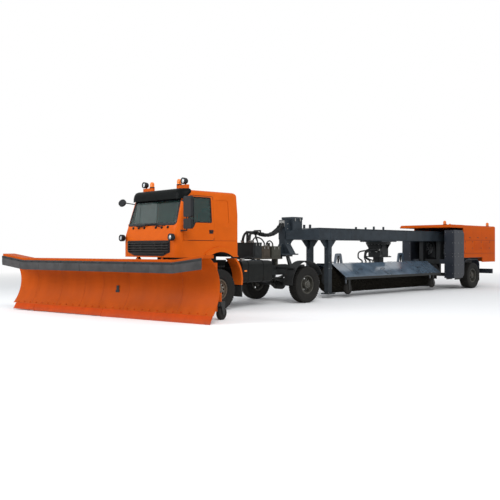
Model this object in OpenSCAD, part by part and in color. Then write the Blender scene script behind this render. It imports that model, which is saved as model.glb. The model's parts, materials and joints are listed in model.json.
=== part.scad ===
// Articulated airport snowplow: cab-over tractor with a front plow,
// towing a gooseneck trailer that carries a sweeping brush and a blower.
// Millimetres, +X forward, +Y to the vehicle's left, +Z up, ground at z = 0.

/* [Stance] */
// front axle ahead of the row origin
front_axle_x = 6115; // [5700:5:6400]
// centre line of the vehicle from the row origin
centre_line_y = -163; // [-200:1:0]
// front axle to drive axle
wheelbase = 3600; // [3400:10:3800]
// front axle back to the kingpin
kingpin_back = 3700; // [3600:10:3900]
// kingpin back to the trailer axle
trailer_base = 10400; // [10200:10:10600]

/* [Wheels] */
// tractor tyre radius
tyre_r = 562; // [540:1:575]
// tractor tyre width
tyre_w = 320; // [290:1:330]
// middle of the tractor tyres from the centre line
track_y = 1075; // [1060:1:1090]
// rim radius at the bead
rim_r = 285; // [265:1:300]
// trailer tyre radius
trailer_tyre_r = 536; // [515:1:550]
// trailer tyre width
trailer_tyre_w = 385; // [350:1:395]
// middle of the trailer tyres from the centre line
trailer_track_y = 1040; // [1030:1:1055]
// kingpin of the steered wheels from the centre line
steer_y = 800; // [790:1:810]

/* [Tractor frame] */
// rail height
rail_h = 300; // [260:5:320]
// top of the rails above ground
rail_top = 1150; // [1140:5:1160]
// outer face of a rail from the centre line
rail_y = 430; // [420:5:440]
// front end of the rails ahead of the front axle
rail_front = 1330; // [1300:5:1345]
// rear end of the rails behind the front axle
rail_rear = 4350; // [4250:5:4450]
// top of the fifth wheel plate
fifth_top = 1460; // [1450:1:1470]

/* [Cab] */
// cab front ahead of the front axle
cab_front = 1470; // [1460:1:1475]
// cab back wall behind the front axle
cab_back = 670; // [620:5:700]
// cab width over the doors
cab_w = 2490; // [2450:5:2500]
// lower edge of the cab sides
cab_low = 1440; // [1436:1:1450]
// roof height
cab_top = 3200; // [3160:5:3250]
// thickness of walls and doors
cab_wall = 50; // [44:1:56]
// top of the wheel arch opening
arch_top = 1576; // [1560:1:1584]
// height of the cab tilt pin
tilt_pin_z = 1380; // [1376:1:1384]
// tilt pin ahead of the front axle
tilt_pin_x = 1390; // [1386:1:1392]

/* [Plow] */
// blade length
blade_len = 6880; // [6400:10:7000]
// middle of the blade to the left of the swing pivot
blade_shift = 80; // [40:5:100]
// rest angle of the blade, right end forward
blade_turn = 12.5; // [5:0.5:15]
// swing pivot ahead of the front axle
swing_x = 2660; // [2640:2:2680]
// swing pivot to the cutting edge
edge_ahead = 468; // [460:2:480]
// height of the blade's deepest line
blade_mid_z = 820; // [800:2:840]
// radius of the lower curve
blade_low_r = 921; // [900:1:950]
// radius of the upper curve
blade_top_r = 720; // [700:1:740]
// thickness of the blade skin
blade_skin = 16; // [12:1:20]
// top of the header rail at mid length
header_top = 1420; // [1400:2:1440]
// rise of the header rail at the blade ends
header_rise = 110; // [60:5:130]
// plow lift hinge ahead of the front axle
lift_x = 1470; // [1465:1:1480]
// plow lift hinge height
lift_z = 640; // [630:1:650]
// support wheel radius
plow_wheel_r = 155; // [145:1:165]

/* [Trailer frame] */
// top of the two long beams
beam_top = 2350; // [2320:5:2380]
// height of a beam
beam_h = 400; // [360:5:420]
// middle of a beam from the centre line
beam_y = 400; // [380:5:420]
// width of a beam
beam_w = 180; // [160:5:200]
// landing legs behind the kingpin
leg_back = 1880; // [1850:5:1920]

/* [Brush] */
// slew axis behind the kingpin
brush_back = 5350; // [5300:5:5400]
// brush length
brush_len = 6100; // [5900:10:6200]
// brush radius
brush_r = 455; // [430:1:460]
// brush axis above ground when raised
brush_z = 570; // [560:1:580]

/* [Rear unit] */
// front face of the air ducts ahead of the trailer axle
duct_ahead = 1570; // [1500:5:1600]
// rear face of the hood behind the trailer axle
hood_behind = 2100; // [1950:10:2200]
// half width of the hood
unit_half = 1160; // [1120:5:1180]
// roof height of the hood
unit_top = 2620; // [2580:5:2680]

/* [Hidden] */
$fn = 48;
// overrun of every cut past the face it opens
over = 2;
// gap kept between pieces that turn on each other
run = 0.3;
// gap of panels that open
seam = 8;
// colours
orange = "#d2561c";
black = "#26282a";
grey = "#3d4247";
rubber = "#1b1c1e";
olive = "#4b4d45";
glass = "#5b6f78";
rim_grey = "#4a4d50";
bright = "#b9bdc1";

// stations of the tractor, measured from the front axle
drive_x = -wheelbase;
kingpin_x = -kingpin_back;
cab_half = cab_w / 2;
rail_low = rail_top - rail_h;
rail_share = 4 / 15;
web_share = 0.15;
rail_w = rail_h * rail_share;
rail_web = rail_w * web_share;

// value between a and b at a share of the way
function mix(a, b, s) = a + (b - a) * s;
function unit2(v) = v / norm(v);
// arc of radius r that rounds the corner b between a and c
function corner_arc(a, b, c, r, n) =
  let (u = unit2(a - b), v = unit2(c - b), half = acos(u * v) / 2,
       t = r / tan(half), m = b + unit2(u + v) * r / sin(half),
       p = b + u * t - m, q = b + v * t - m,
       s = atan2(p[1], p[0]), e = atan2(q[1], q[0]),
       d = e - s > 180 ? e - s - 360 : e - s < -180 ? e - s + 360 : e - s)
  [for (i = [0:n]) m + r * [cos(s + d * i / n), sin(s + d * i / n)]];
// closed outline with rounded corners, each row being x, y, radius
function rounded(rows, n = 6) = [
  for (i = [0:len(rows) - 1])
    let (a = rows[(i + len(rows) - 1) % len(rows)], b = rows[i], c = rows[(i + 1) % len(rows)])
    each b[2] == 0 ? [[b[0], b[1]]]
      : corner_arc([a[0], a[1]], [b[0], b[1]], [c[0], c[1]], b[2], n)];
// rounded rectangle between two values on each axis
function rounded_box(x, y, r) = rounded([[x[0], y[0], r], [x[1], y[0], r], [x[1], y[1], r], [x[0], y[1], r]]);

// box between two values on each axis
module block(x, y, z) {
  translate([x[0], y[0], z[0]])
    cube([x[1] - x[0], y[1] - y[0], z[1] - z[0]]);
}
// outline in x and z, pushed along y between two values
module side_plate(y) {
  translate([0, y[1], 0])
    rotate([90, 0, 0])
      linear_extrude(height = y[1] - y[0])
        children();
}
// outline in y and z, pushed along x between two values
module front_plate(x) {
  translate([x[0], 0, 0])
    rotate([90, 0, 90])
      linear_extrude(height = x[1] - x[0])
        children();
}
// outline in x and y, pushed up between two values
module plan_plate(z) {
  translate([0, 0, z[0]])
    linear_extrude(height = z[1] - z[0])
      children();
}
module rod_x(r, x, y, z) {
  translate([x[0], y, z])
    rotate([0, 90, 0])
      cylinder(r = r, h = x[1] - x[0]);
}
module rod_y(r, x, y, z) {
  translate([x, y[0], z])
    rotate([-90, 0, 0])
      cylinder(r = r, h = y[1] - y[0]);
}
module rod_z(r, x, y, z) {
  translate([x, y, z[0]])
    cylinder(r = r, h = z[1] - z[0]);
}
// straight round bar between two points
module bar(r, p, q) {
  d = q - p;
  translate(p)
    rotate([0, acos(d[2] / norm(d)), atan2(d[1], d[0])])
      cylinder(r = r, h = norm(d));
}
module both_sides() {
  children();
  mirror([0, 1, 0])
    children();
}
module at_axle() {
  translate([front_axle_x, centre_line_y, 0])
    children();
}
module at_kingpin() {
  at_axle()
    translate([kingpin_x, 0, 0])
      children();
}
// middle of the blade, with x square to it and y along it
module at_blade() {
  at_axle()
    translate([swing_x, 0, 0])
      rotate([0, 0, blade_turn])
        translate([0, blade_shift, 0])
          children();
}
module at_brush() {
  at_kingpin()
    translate([-brush_back, 0, 0])
      children();
}

// tractor frame
cross_r = 60;
hitch_half = 560;
hitch_plate = 60;
hitch_high = 1110;
tilt_lug_y = 560;
tilt_lug_w = 60;
tilt_lug_r = 42;
tilt_pin_r = 24;
cab_rest_x = -480;
cab_under = 1600;
lift_top_x = 1540;
lift_top_z = 1030;
lift_pin_r = 28;
lift_eye_w = 70;
ear_w = 36;
lift_ear_y = 450;
tow_len = rail_w * 3 / 2;
tow_half = rail_w * 9 / 8;
cross_stations = [1100, -1620, -2350, -4200];
module rail_profile() {
  difference() {
    translate([rail_y - rail_w, rail_low])
      square([rail_w, rail_h]);
    translate([rail_y - rail_w - over, rail_low + rail_web])
      square([rail_w - rail_web + over, rail_h - rail_web * 2]);
  }
}
// inner faces of the two ears that hold an eye of width w
function ear_faces(w) = [-w / 2 - ear_w - run, w / 2 + run];
module chassis_frame() {
  color(black)
    at_axle() {
      both_sides()
        front_plate([-rail_rear, rail_front])
          rail_profile();
      for (x = cross_stations)
        rod_y(cross_r, x, [-rail_y + rail_web, rail_y - rail_web], (rail_top + rail_low) / 2);
      // plow hitch: plate, ears for the push frame and for the lift cylinder
      block([rail_front, rail_front + hitch_plate], [-hitch_half, hitch_half], [lift_z - rail_w, hitch_high]);
      both_sides()
        for (y = ear_faces(lift_eye_w))
          hitch_ear(lift_ear_y + y, lift_x, lift_z, rail_w);
      for (y = ear_faces(lift_eye_w))
        hitch_ear(y, lift_top_x, lift_top_z, lift_eye_t);
      rod_y(lift_pin_r, lift_top_x, [-lift_eye_w / 2 - ear_w, lift_eye_w / 2 + ear_w], lift_top_z);
      both_sides()
        rod_y(lift_pin_r, lift_x, [lift_ear_y - lift_eye_w, lift_ear_y + lift_eye_w], lift_z);
      both_sides()
        tilt_bracket();
      // rear rest of the cab
      both_sides()
        block([cab_rest_x - rail_w, cab_rest_x + rail_w], [rail_y - rail_w, rail_y],
              [rail_top - rail_web, cab_under - run]);
      // arms of the bumper
      both_sides()
        block([step_rear + rail_w, step_rear + rail_h], [rail_y - rail_web, step_in],
              [bumper_top - rail_h - rail_w, bumper_top - rail_h]);
      // spring hangers
      both_sides()
        for (x = [0, drive_x], s = [-1, 1])
          block([x + s * spring_half - hanger / 2, x + s * spring_half + hanger / 2],
                [rail_y - rail_w, rail_y], [spring_end_z, rail_low + rail_web]);
      // rear tow jaw
      block([-rail_rear - tow_len, -rail_rear + rail_w], [-tow_half, tow_half],
            [rail_low + rail_web, rail_low + rail_w]);
      block([-rail_rear, -rail_rear + rail_w], [-rail_y + rail_web, rail_y - rail_web],
            [rail_low + rail_web, rail_top - rail_web]);
    }
}
module hitch_ear(y, x, z, r) {
  side_plate([y, y + ear_w]) {
    translate([x, z])
      circle(r = r);
    translate([rail_front, z - r])
      square([x - rail_front, r * 2]);
  }
}
module tilt_bracket() {
  for (y = ear_faces(tilt_lug_w))
    side_plate([tilt_lug_y + y, tilt_lug_y + y + ear_w]) {
      translate([tilt_pin_x, tilt_pin_z])
        circle(r = tilt_lug_r);
      polygon([[rail_front - rail_h, rail_top - rail_w], [rail_front, rail_top - rail_w],
               [tilt_pin_x + tilt_lug_r, tilt_pin_z], [tilt_pin_x - tilt_lug_r, tilt_pin_z]]);
    }
  rod_y(tilt_pin_r, tilt_pin_x, [tilt_lug_y - tilt_lug_w, tilt_lug_y + tilt_lug_w], tilt_pin_z);
  block([rail_front - rail_h, rail_front], [rail_y - rail_web, tilt_lug_y + tilt_lug_w + rail_web],
        [rail_top - rail_w, rail_top]);
}

// engine, gearbox and shaft
engine_half = 300;
engine_front = 950;
engine_rear = -450;
engine_low = 760;
engine_high = 1530;
gearbox_half = 210;
gearbox_rear = -1500;
gearbox_low = 780;
gearbox_high = 1120;
shaft_r = 50;
pinion_len = 90;
module engine_block() {
  color(grey)
    at_axle() {
      block([engine_rear, engine_front], [-engine_half, engine_half], [engine_low, engine_high]);
      block([gearbox_rear, engine_rear + over], [-gearbox_half, gearbox_half], [gearbox_low, gearbox_high]);
      intersection() {
        bar(shaft_r, [gearbox_rear + rail_w, 0, gearbox_low + rail_w], [drive_x, 0, tyre_r]);
        block([drive_x + diff_r + pinion_len + run, engine_rear], [-diff_r, diff_r], [0, rail_top]);
      }
      both_sides()
        block([engine_rear + rail_w, engine_rear + rail_h], [engine_half - over, rail_y - rail_w + rail_web],
              [rail_top - rail_w, rail_top - rail_web]);
    }
}

// axles and springs
axle_r = 75;
diff_r = 190;
diff_w = 260;
spring_half = 640;
hanger = rail_w * 9 / 8;
spring_t = 70;
spring_end_z = 800;
spring_drop = 120;
spring_arc_r = (spring_half * spring_half + spring_drop * spring_drop) / (2 * spring_drop);
spring_low = spring_end_z - spring_drop - spring_t;
boss_r = 62;
boss_h = 150;
pin_r = 28;
spindle_r = 55;
spindle_tip_y = 1185;
rear_reach = 850;
module leaf_spring(x) {
  intersection() {
    side_plate([rail_y - rail_w, rail_y])
      translate([x, spring_low + spring_arc_r])
        difference() {
          circle(r = spring_arc_r, $fn = 96);
          circle(r = spring_arc_r - spring_t, $fn = 96);
        }
    block([x - spring_half - hanger / 2, x + spring_half + hanger / 2], [0, cab_half], [0, spring_end_z]);
  }
}
module axle_beam(x, reach) {
  rod_y(axle_r, x, [-reach, reach], tyre_r);
  rod_y(diff_r, x, [-diff_w / 2, diff_w / 2], tyre_r);
  both_sides() {
    leaf_spring(x);
    block([x - axle_r, x + axle_r], [rail_y - rail_w, rail_y], [tyre_r, spring_low + over]);
  }
}
module axles() {
  color(black)
    at_axle() {
      difference() {
        union() {
          axle_beam(0, steer_y);
          both_sides()
            rod_z(boss_r, 0, steer_y, [tyre_r - boss_h / 2, tyre_r + boss_h / 2]);
        }
        both_sides()
          rod_z(pin_r + run, 0, steer_y, [tyre_r - boss_h, tyre_r + boss_h]);
      }
      axle_beam(drive_x, rear_reach);
      rod_x(axle_r + shaft_r / 2, [drive_x, drive_x + diff_r + pinion_len], 0, tyre_r);
      both_sides()
        rod_y(spindle_r, drive_x, [rear_reach - over, spindle_tip_y], tyre_r);
    }
}
knuckle_t = 44;
knuckle_gap = 6;
knuckle_web_y = steer_y + boss_r + knuckle_gap;
knuckle_reach = boss_h / 2 + knuckle_t;
// one steered hub carrier on the left side
module knuckle_form() {
  for (z = [tyre_r + boss_h / 2 + run, tyre_r - knuckle_reach - run])
    plan_plate([z, z + knuckle_t]) {
      translate([0, steer_y])
        circle(r = boss_r);
      translate([-boss_r, steer_y])
        square([boss_r * 2, boss_r + knuckle_t]);
    }
  block([-boss_r, boss_r], [knuckle_web_y, steer_y + boss_r + knuckle_t],
        [tyre_r - knuckle_reach - run, tyre_r + knuckle_reach + run]);
  rod_z(pin_r, 0, steer_y, [tyre_r - knuckle_reach, tyre_r + knuckle_reach]);
  rod_y(spindle_r, 0, [knuckle_web_y, spindle_tip_y], tyre_r);
}
module knuckle_left() {
  color(black)
    at_axle()
      knuckle_form();
}
module knuckle_right() {
  color(black)
    at_axle()
      mirror([0, 1, 0])
        knuckle_form();
}

// wheels, drawn round the y axis with the outside towards +y
tyre_shoulder = 46;
bead_share = 0.8;
tread_share = 0.86;
rim_t = 16;
hub_r = 120;
front_dish = 92;
front_nose = 130;
front_holes = 10;
front_hole_r = 28;
rear_dish = 10;
rear_nose = 130;
rear_holes = 8;
rear_hole_r = 30;
module tyre_form(r, w, inner) {
  rotate([90, 0, 0])
    rotate_extrude($fn = 96)
      polygon(rounded([
        [inner, -w * bead_share / 2, 0],
        [inner + tyre_shoulder, -w / 2, tyre_shoulder / 2],
        [r - tyre_shoulder / 2, -w / 2, tyre_shoulder],
        [r, -w * tread_share / 2, tyre_shoulder / 4],
        [r, w * tread_share / 2, tyre_shoulder / 4],
        [r - tyre_shoulder / 2, w / 2, tyre_shoulder],
        [inner + tyre_shoulder, w / 2, tyre_shoulder / 2],
        [inner, w * bead_share / 2, 0]], 4));
}
// dish: y of the disc from the wheel middle; nose: y of the hub's outer end
module rim_form(r, w, dish, nose, hole_r, holes) {
  half = w * bead_share / 2;
  well = r - rim_t * 2;
  difference() {
    rotate([-90, 0, 0])
      rotate_extrude($fn = 96)
        polygon([[well - rim_t, -half], [r, -half], [r, half], [well, half], [well, dish],
                 [hub_r, dish], [hub_r, nose], [0, nose], [0, dish - hub_r],
                 [hub_r, dish - hub_r], [hub_r, dish - rim_t], [well - rim_t, dish - rim_t]]);
    for (i = [0:holes - 1])
      rotate([0, i * 360 / holes, 0])
        rod_y(hole_r, (well + hub_r) / 2, [dish - rim_t - over, dish + over], 0);
    rod_y(spindle_r + run, 0, [dish - hub_r - over, nose - rim_t], 0);
  }
}
module wheel_at(x, y, z, s) {
  translate([x, s * y, z])
    mirror([0, s < 0 ? 1 : 0, 0])
      children();
}
module tractor_tyre(x, s) {
  color(rubber)
    at_axle()
      wheel_at(x, track_y, tyre_r, s)
        tyre_form(tyre_r, tyre_w, rim_r + run);
}
module front_rim(s) {
  color(rim_grey)
    at_axle()
      wheel_at(0, track_y, tyre_r, s)
        rim_form(rim_r, tyre_w, front_dish, front_nose, front_hole_r, front_holes);
}
module rear_rim(s) {
  color(rim_grey)
    at_axle()
      wheel_at(drive_x, track_y, tyre_r, s)
        rim_form(rim_r, tyre_w, rear_dish, rear_nose, rear_hole_r, rear_holes);
}
module tyre_front_left() {
  tractor_tyre(0, 1);
}
module tyre_front_right() {
  tractor_tyre(0, -1);
}
module tyre_rear_left() {
  tractor_tyre(drive_x, 1);
}
module tyre_rear_right() {
  tractor_tyre(drive_x, -1);
}
module rim_front_left() {
  front_rim(1);
}
module rim_front_right() {
  front_rim(-1);
}
module rim_rear_left() {
  rear_rim(1);
}
module rim_rear_right() {
  rear_rim(-1);
}

// tanks and boxes on the sides of the frame
tank_front = -860;
tank_rear = -2050;
tank_low = 710;
tank_high = 1320;
tank_clear = 45;
tank_out = cab_half - tank_clear;
tank_in = 470;
tank_round = 120;
strap_t = 8;
strap_w = 60;
strap_shares = [0.25, 0.75];
box_rear = -1750;
module side_tanks() {
  color(black)
    at_axle() {
      // fuel tank, left
      front_plate([tank_rear, tank_front])
        polygon(rounded_box([tank_in, tank_out], [tank_low, tank_high], tank_round));
      for (s = strap_shares)
        front_plate([mix(tank_rear, tank_front, s), mix(tank_rear, tank_front, s) + strap_w])
          polygon(rounded_box([tank_in, tank_out + strap_t], [tank_low - strap_t, tank_high + strap_t],
                              tank_round));
      block([tank_rear + rail_h, tank_front - rail_h], [rail_y, tank_in + over],
            [rail_low + rail_w, rail_top - rail_web]);
      // battery and air box, right
      mirror([0, 1, 0]) {
        block([box_rear, tank_front], [tank_in, tank_out], [tank_low, tank_high]);
        block([box_rear + rail_w, tank_front - rail_w], [rail_y, tank_in + over],
              [rail_low + rail_w, rail_top - rail_web]);
        for (s = strap_shares)
          block([box_rear + rail_w, tank_front - rail_w], [tank_out - over, tank_out + strap_t],
                [mix(tank_low, tank_high, s) - strap_w / 2, mix(tank_low, tank_high, s) + strap_w / 2]);
      }
    }
}

// rear mudguards: shells over the drive wheels, longer at the front
guard_gap = 150;
guard_t = 20;
guard_w = 350;
guard_clear = 15;
guard_out = cab_half - guard_clear;
guard_r = tyre_r + guard_gap;
guard_stay = 560;
guard_rear_low = 850;
module rear_mudguards() {
  color(black)
    at_axle()
      both_sides() {
        intersection() {
          side_plate([guard_out - guard_w, guard_out])
            translate([drive_x, tyre_r])
              difference() {
                circle(r = guard_r + guard_t, $fn = 96);
                circle(r = guard_r, $fn = 96);
              }
          union() {
            block([drive_x, drive_x + guard_r + guard_t], [0, cab_half], [tyre_r, cab_top]);
            block([drive_x - guard_r - guard_t, drive_x + over], [0, cab_half], [guard_rear_low, cab_top]);
          }
        }
        for (s = [-1, 1])
          bar(axle_r / 2, [drive_x + s * guard_stay, rail_y, rail_top - rail_w],
              [drive_x + s * guard_stay, guard_out - rail_w, rail_top - rail_w]);
      }
}

// fifth wheel with its throat
plate_half = 360;
plate_front = 330;
plate_rear = 420;
plate_t = 50;
throat_r = 48;
stand_half = 60;
module fifth_wheel() {
  color(black)
    at_kingpin() {
      difference() {
        plan_plate([fifth_top - plate_t, fifth_top])
          polygon(rounded([[plate_front, -plate_half, plate_half / 2],
                           [plate_front, plate_half, plate_half / 2],
                           [-plate_rear / 3, plate_half, 0], [-plate_rear, plate_half / 3, 0],
                           [-plate_rear, throat_r * 2, 0], [-plate_rear / 3, throat_r, 0],
                           [-plate_rear / 3, -throat_r, 0], [-plate_rear, -throat_r * 2, 0],
                           [-plate_rear, -plate_half / 3, 0], [-plate_rear / 3, -plate_half, 0]]));
        rod_z(throat_r, 0, 0, [fifth_top - plate_t - over, fifth_top + over]);
        block([-plate_rear / 2, 0], [-throat_r, throat_r], [fifth_top - plate_t - over, fifth_top + over]);
      }
      both_sides()
        front_plate([-stand_half, stand_half])
          polygon([[rail_y - rail_w, rail_top], [rail_y, rail_top],
                   [plate_half - plate_t, fifth_top - plate_t + over],
                   [plate_half - plate_t * 2, fifth_top - plate_t + over]]);
    }
}

// hydraulic boxes and hose mast behind the cab
deck_z = 1380;
deck_t = 40;
deck_front = -1950;
deck_rear = -3180;
deck_half = 520;
mast_x = -2200;
mast_top = 2200;
mast_r = 38;
arm_reach = 420;
manifold_t = 24;
manifold_half = 150;
filter_r = 48;
filter_h = 110;
// columns: front, rear and half width as shares of the deck
deck_shares = [[0.02, 0.3, 0.95], [0.33, 0.62, 0.9], [0.66, 0.98, 0.95]];
// height of each box
deck_heights = [460, 360, 350];
module deck_equipment() {
  color(olive)
    at_axle() {
      block([deck_rear, deck_front], [-deck_half, deck_half], [deck_z - deck_t, deck_z]);
      both_sides()
        for (x = [deck_front - rail_w, deck_rear + rail_w * 2])
          block([x - rail_w, x], [rail_y - rail_w, rail_y], [rail_top, deck_z - deck_t + over]);
      for (i = [0:len(deck_shares) - 1])
        block([mix(deck_front, deck_rear, deck_shares[i][1]), mix(deck_front, deck_rear, deck_shares[i][0])],
              [-deck_half * deck_shares[i][2], deck_half * deck_shares[i][2]],
              [deck_z - over, deck_z + deck_heights[i]]);
      // filters on the last two boxes
      for (i = [1, 2])
        rod_z(filter_r, mix(deck_front, deck_rear, deck_shares[i][0]) - filter_r * 2, deck_half / 2,
              [deck_z + deck_heights[i] - over, deck_z + deck_heights[i] + filter_h]);
      rod_z(mast_r, mast_x, 0, [deck_z + deck_heights[0] - over, mast_top]);
      rod_x(mast_r, [mast_x - arm_reach, mast_x + mast_r], 0, mast_top - mast_r);
      block([mast_x - arm_reach - manifold_t, mast_x - arm_reach + over], [-manifold_half, manifold_half],
            [mast_top - mast_r - manifold_half / 2, mast_top - mast_r + manifold_half / 2]);
    }
}

// bumper with the entry steps and the lamp recesses
bumper_top = 1360;
bumper_low = 560;
bumper_front = 1480;
bumper_wall = 40;
bumper_clear = 10;
bumper_half = cab_half - bumper_clear;
bumper_round = 200;
step_rear = 760;
step_w = 335;
step_in = bumper_half - step_w;
step_gap = 40;
tread_depth = 220;
mouth_half = 640;
mouth_top = 1180;
lamp_y = [760, 1080];
lamp_z = [860, 1060];
lamp_deep = 14;
// columns: lower and upper edge of each step recess as shares of the bumper height
step_shares = [[0.08, 0.36], [0.42, 0.7]];
module bumper_plan(inset) {
  polygon(rounded([[step_rear, -bumper_half + inset, 0],
                   [bumper_front - inset, -bumper_half + inset, bumper_round],
                   [bumper_front - inset, bumper_half - inset, bumper_round],
                   [step_rear, bumper_half - inset, 0]]));
}
module bumper() {
  color(orange)
    at_axle()
      difference() {
        plan_plate([bumper_low, bumper_top])
          bumper_plan(0);
        // hollow behind the front wall, between the two step boxes
        plan_plate([bumper_low - over, bumper_top + over])
          difference() {
            bumper_plan(bumper_wall);
            for (s = [-1, 1])
              translate([step_rear - over, s * (step_in + step_w / 2) - step_w / 2])
                square([bumper_front - bumper_wall - step_rear - rail_h, step_w]);
          }
        block([step_rear - over, step_rear + over], [-step_in, step_in],
              [bumper_low - over, bumper_top + over]);
        block([bumper_front - rail_h, bumper_front + over], [-mouth_half, mouth_half],
              [bumper_low - over, mouth_top]);
        both_sides() {
          for (s = step_shares)
            block([step_rear + step_gap, bumper_front - rail_h - step_gap],
                  [bumper_half - tread_depth, bumper_half + over],
                  [mix(bumper_low, bumper_top, s[0]), mix(bumper_low, bumper_top, s[1])]);
          block([bumper_front - lamp_deep, bumper_front + over], lamp_y, lamp_z);
        }
      }
}

// fenders behind the front wheels, with mud flaps
fender_top = 1400;
fender_low = 660;
fender_w = 365;
fender_in = cab_half - fender_w;
fender_t = 60;
flap_low = 330;
arch_z = 814;
arch_r = arch_top - arch_z;
module front_fenders() {
  color(orange)
    at_axle()
      both_sides() {
        intersection() {
          side_plate([fender_in, cab_half])
            translate([0, arch_z])
              difference() {
                circle(r = arch_r + fender_t + rail_web, $fn = 96);
                circle(r = arch_r + rail_web, $fn = 96);
              }
          block([-cab_back - rail_h, -rail_h], [0, cab_w], [fender_low, fender_top]);
        }
        block([-arch_r - fender_t - over, -arch_r - rail_web - over],
              [fender_in + rail_web, cab_half - rail_web],
              [flap_low, fender_low + over]);
        block([-arch_r - fender_t - over, -arch_r - rail_web * 2], [rail_y, fender_in + over],
              [rail_top - rail_w, rail_top - rail_web]);
      }
}

// cab: one form drawn at several insets, then cut into shell, doors and glass
waist_z = 2250;
cowl_x = 1395;
nose_z = 1900;
nose_round = 120;
roof_front_x = 1075;
roof_in = 80;
roof_half = cab_half - roof_in;
roof_round = 110;
rear_lean = 30;
side_round = 200;
rear_corner = 80;
front_corner = 230;
pillar_r = 260;
brow_x = cowl_x - (cab_top - waist_z) * (cab_front - cowl_x) / (waist_z - nose_z);
rake = atan2(cowl_x - roof_front_x, cab_top - waist_z);
module cab_form(inset, low) {
  intersection() {
    side_plate([-cab_half, cab_half])
      polygon(rounded([[-cab_back + inset, low, 0], [cab_front - inset, low, 0],
                       [cab_front - inset, nose_z, nose_round],
                       [brow_x - inset, cab_top - inset, 0],
                       [-cab_back + rear_lean + inset, cab_top - inset, roof_round]]));
    front_plate([-cab_back, cab_front])
      polygon(rounded([[-cab_half + inset, low, 0], [cab_half - inset, low, 0],
                       [cab_half - inset, waist_z, side_round],
                       [roof_half - inset, cab_top - inset, roof_round],
                       [-roof_half + inset, cab_top - inset, roof_round],
                       [-cab_half + inset, waist_z, side_round]]));
    plan_plate([low, cab_top])
      polygon(rounded([[-cab_back + inset, -cab_half + inset, rear_corner],
                       [cab_front - inset, -cab_half + inset, front_corner],
                       [cab_front - inset, cab_half - inset, front_corner],
                       [-cab_back + inset, cab_half - inset, rear_corner]], 8));
    // raked front with round pillars
    translate([cowl_x, 0, waist_z])
      rotate([0, -rake, 0])
        plan_plate([-cab_top, cab_top])
          polygon(rounded([[-cab_top, -cab_half + inset, 0], [-inset, -cab_half + inset, pillar_r],
                           [-inset, cab_half - inset, pillar_r], [-cab_top, cab_half - inset, 0]], 8));
  }
}
door_front_x = 1235;
door_rear_x = 215;
door_low = 1875;
door_high = 3060;
door_slant_x = 1065;
door_round = 60;
module door_outline(gap) {
  polygon(rounded([[door_rear_x + gap, door_low + gap, door_round],
                   [door_front_x - gap, door_low + gap, door_round],
                   [door_front_x - gap, waist_z, door_round],
                   [door_slant_x - gap, door_high - gap, door_round],
                   [door_rear_x + gap, door_high - gap, door_round]]));
}
window_front = 1120;
window_step_x = 850;
window_step = 80;
window_low = 2225;
window_sill = 2355;
window_top = 3015;
window_slant_x = 1010;
window_rear = 300;
window_round = 30;
module window_outline(gap) {
  polygon(rounded([[window_rear + gap, window_sill + gap, window_round],
                   [window_step_x, window_sill + gap, window_round],
                   [window_step_x + window_step, window_low + gap, window_round],
                   [window_front - gap, window_low + gap, window_round],
                   [window_slant_x - gap, window_top - gap, window_round],
                   [window_rear + gap, window_top - gap, window_round]]));
}
glass_low = 2285;
glass_high = 2985;
glass_in = 170;
glass_lean = 65;
glass_low_half = cab_half - glass_in;
glass_high_half = glass_low_half - glass_lean;
glass_round = 80;
module screen_outline(gap) {
  polygon(rounded([[-glass_low_half + gap, glass_low + gap, glass_round],
                   [glass_low_half - gap, glass_low + gap, glass_round],
                   [glass_high_half - gap, glass_high - gap, glass_round],
                   [-glass_high_half + gap, glass_high - gap, glass_round]]));
}
floor_t = 50;
panel_t = 10;
panel_x = [-320, 120];
panel_z = [2320, 2970];
panel_round = 70;
groove_h = 14;
groove_t = 6;
flare_w = 134;
flare_r = arch_r + flare_w;
flare_out = 36;
flare_front = 540;
house_in = 640;
hinge_r = 16;
hinge_pin_r = 7;
hinge_off = 4;
hinge_y = cab_half + hinge_off;
hinge_x = door_front_x + seam;
hinge_h = 70;
hinge_z = [1960, 2200];
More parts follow.
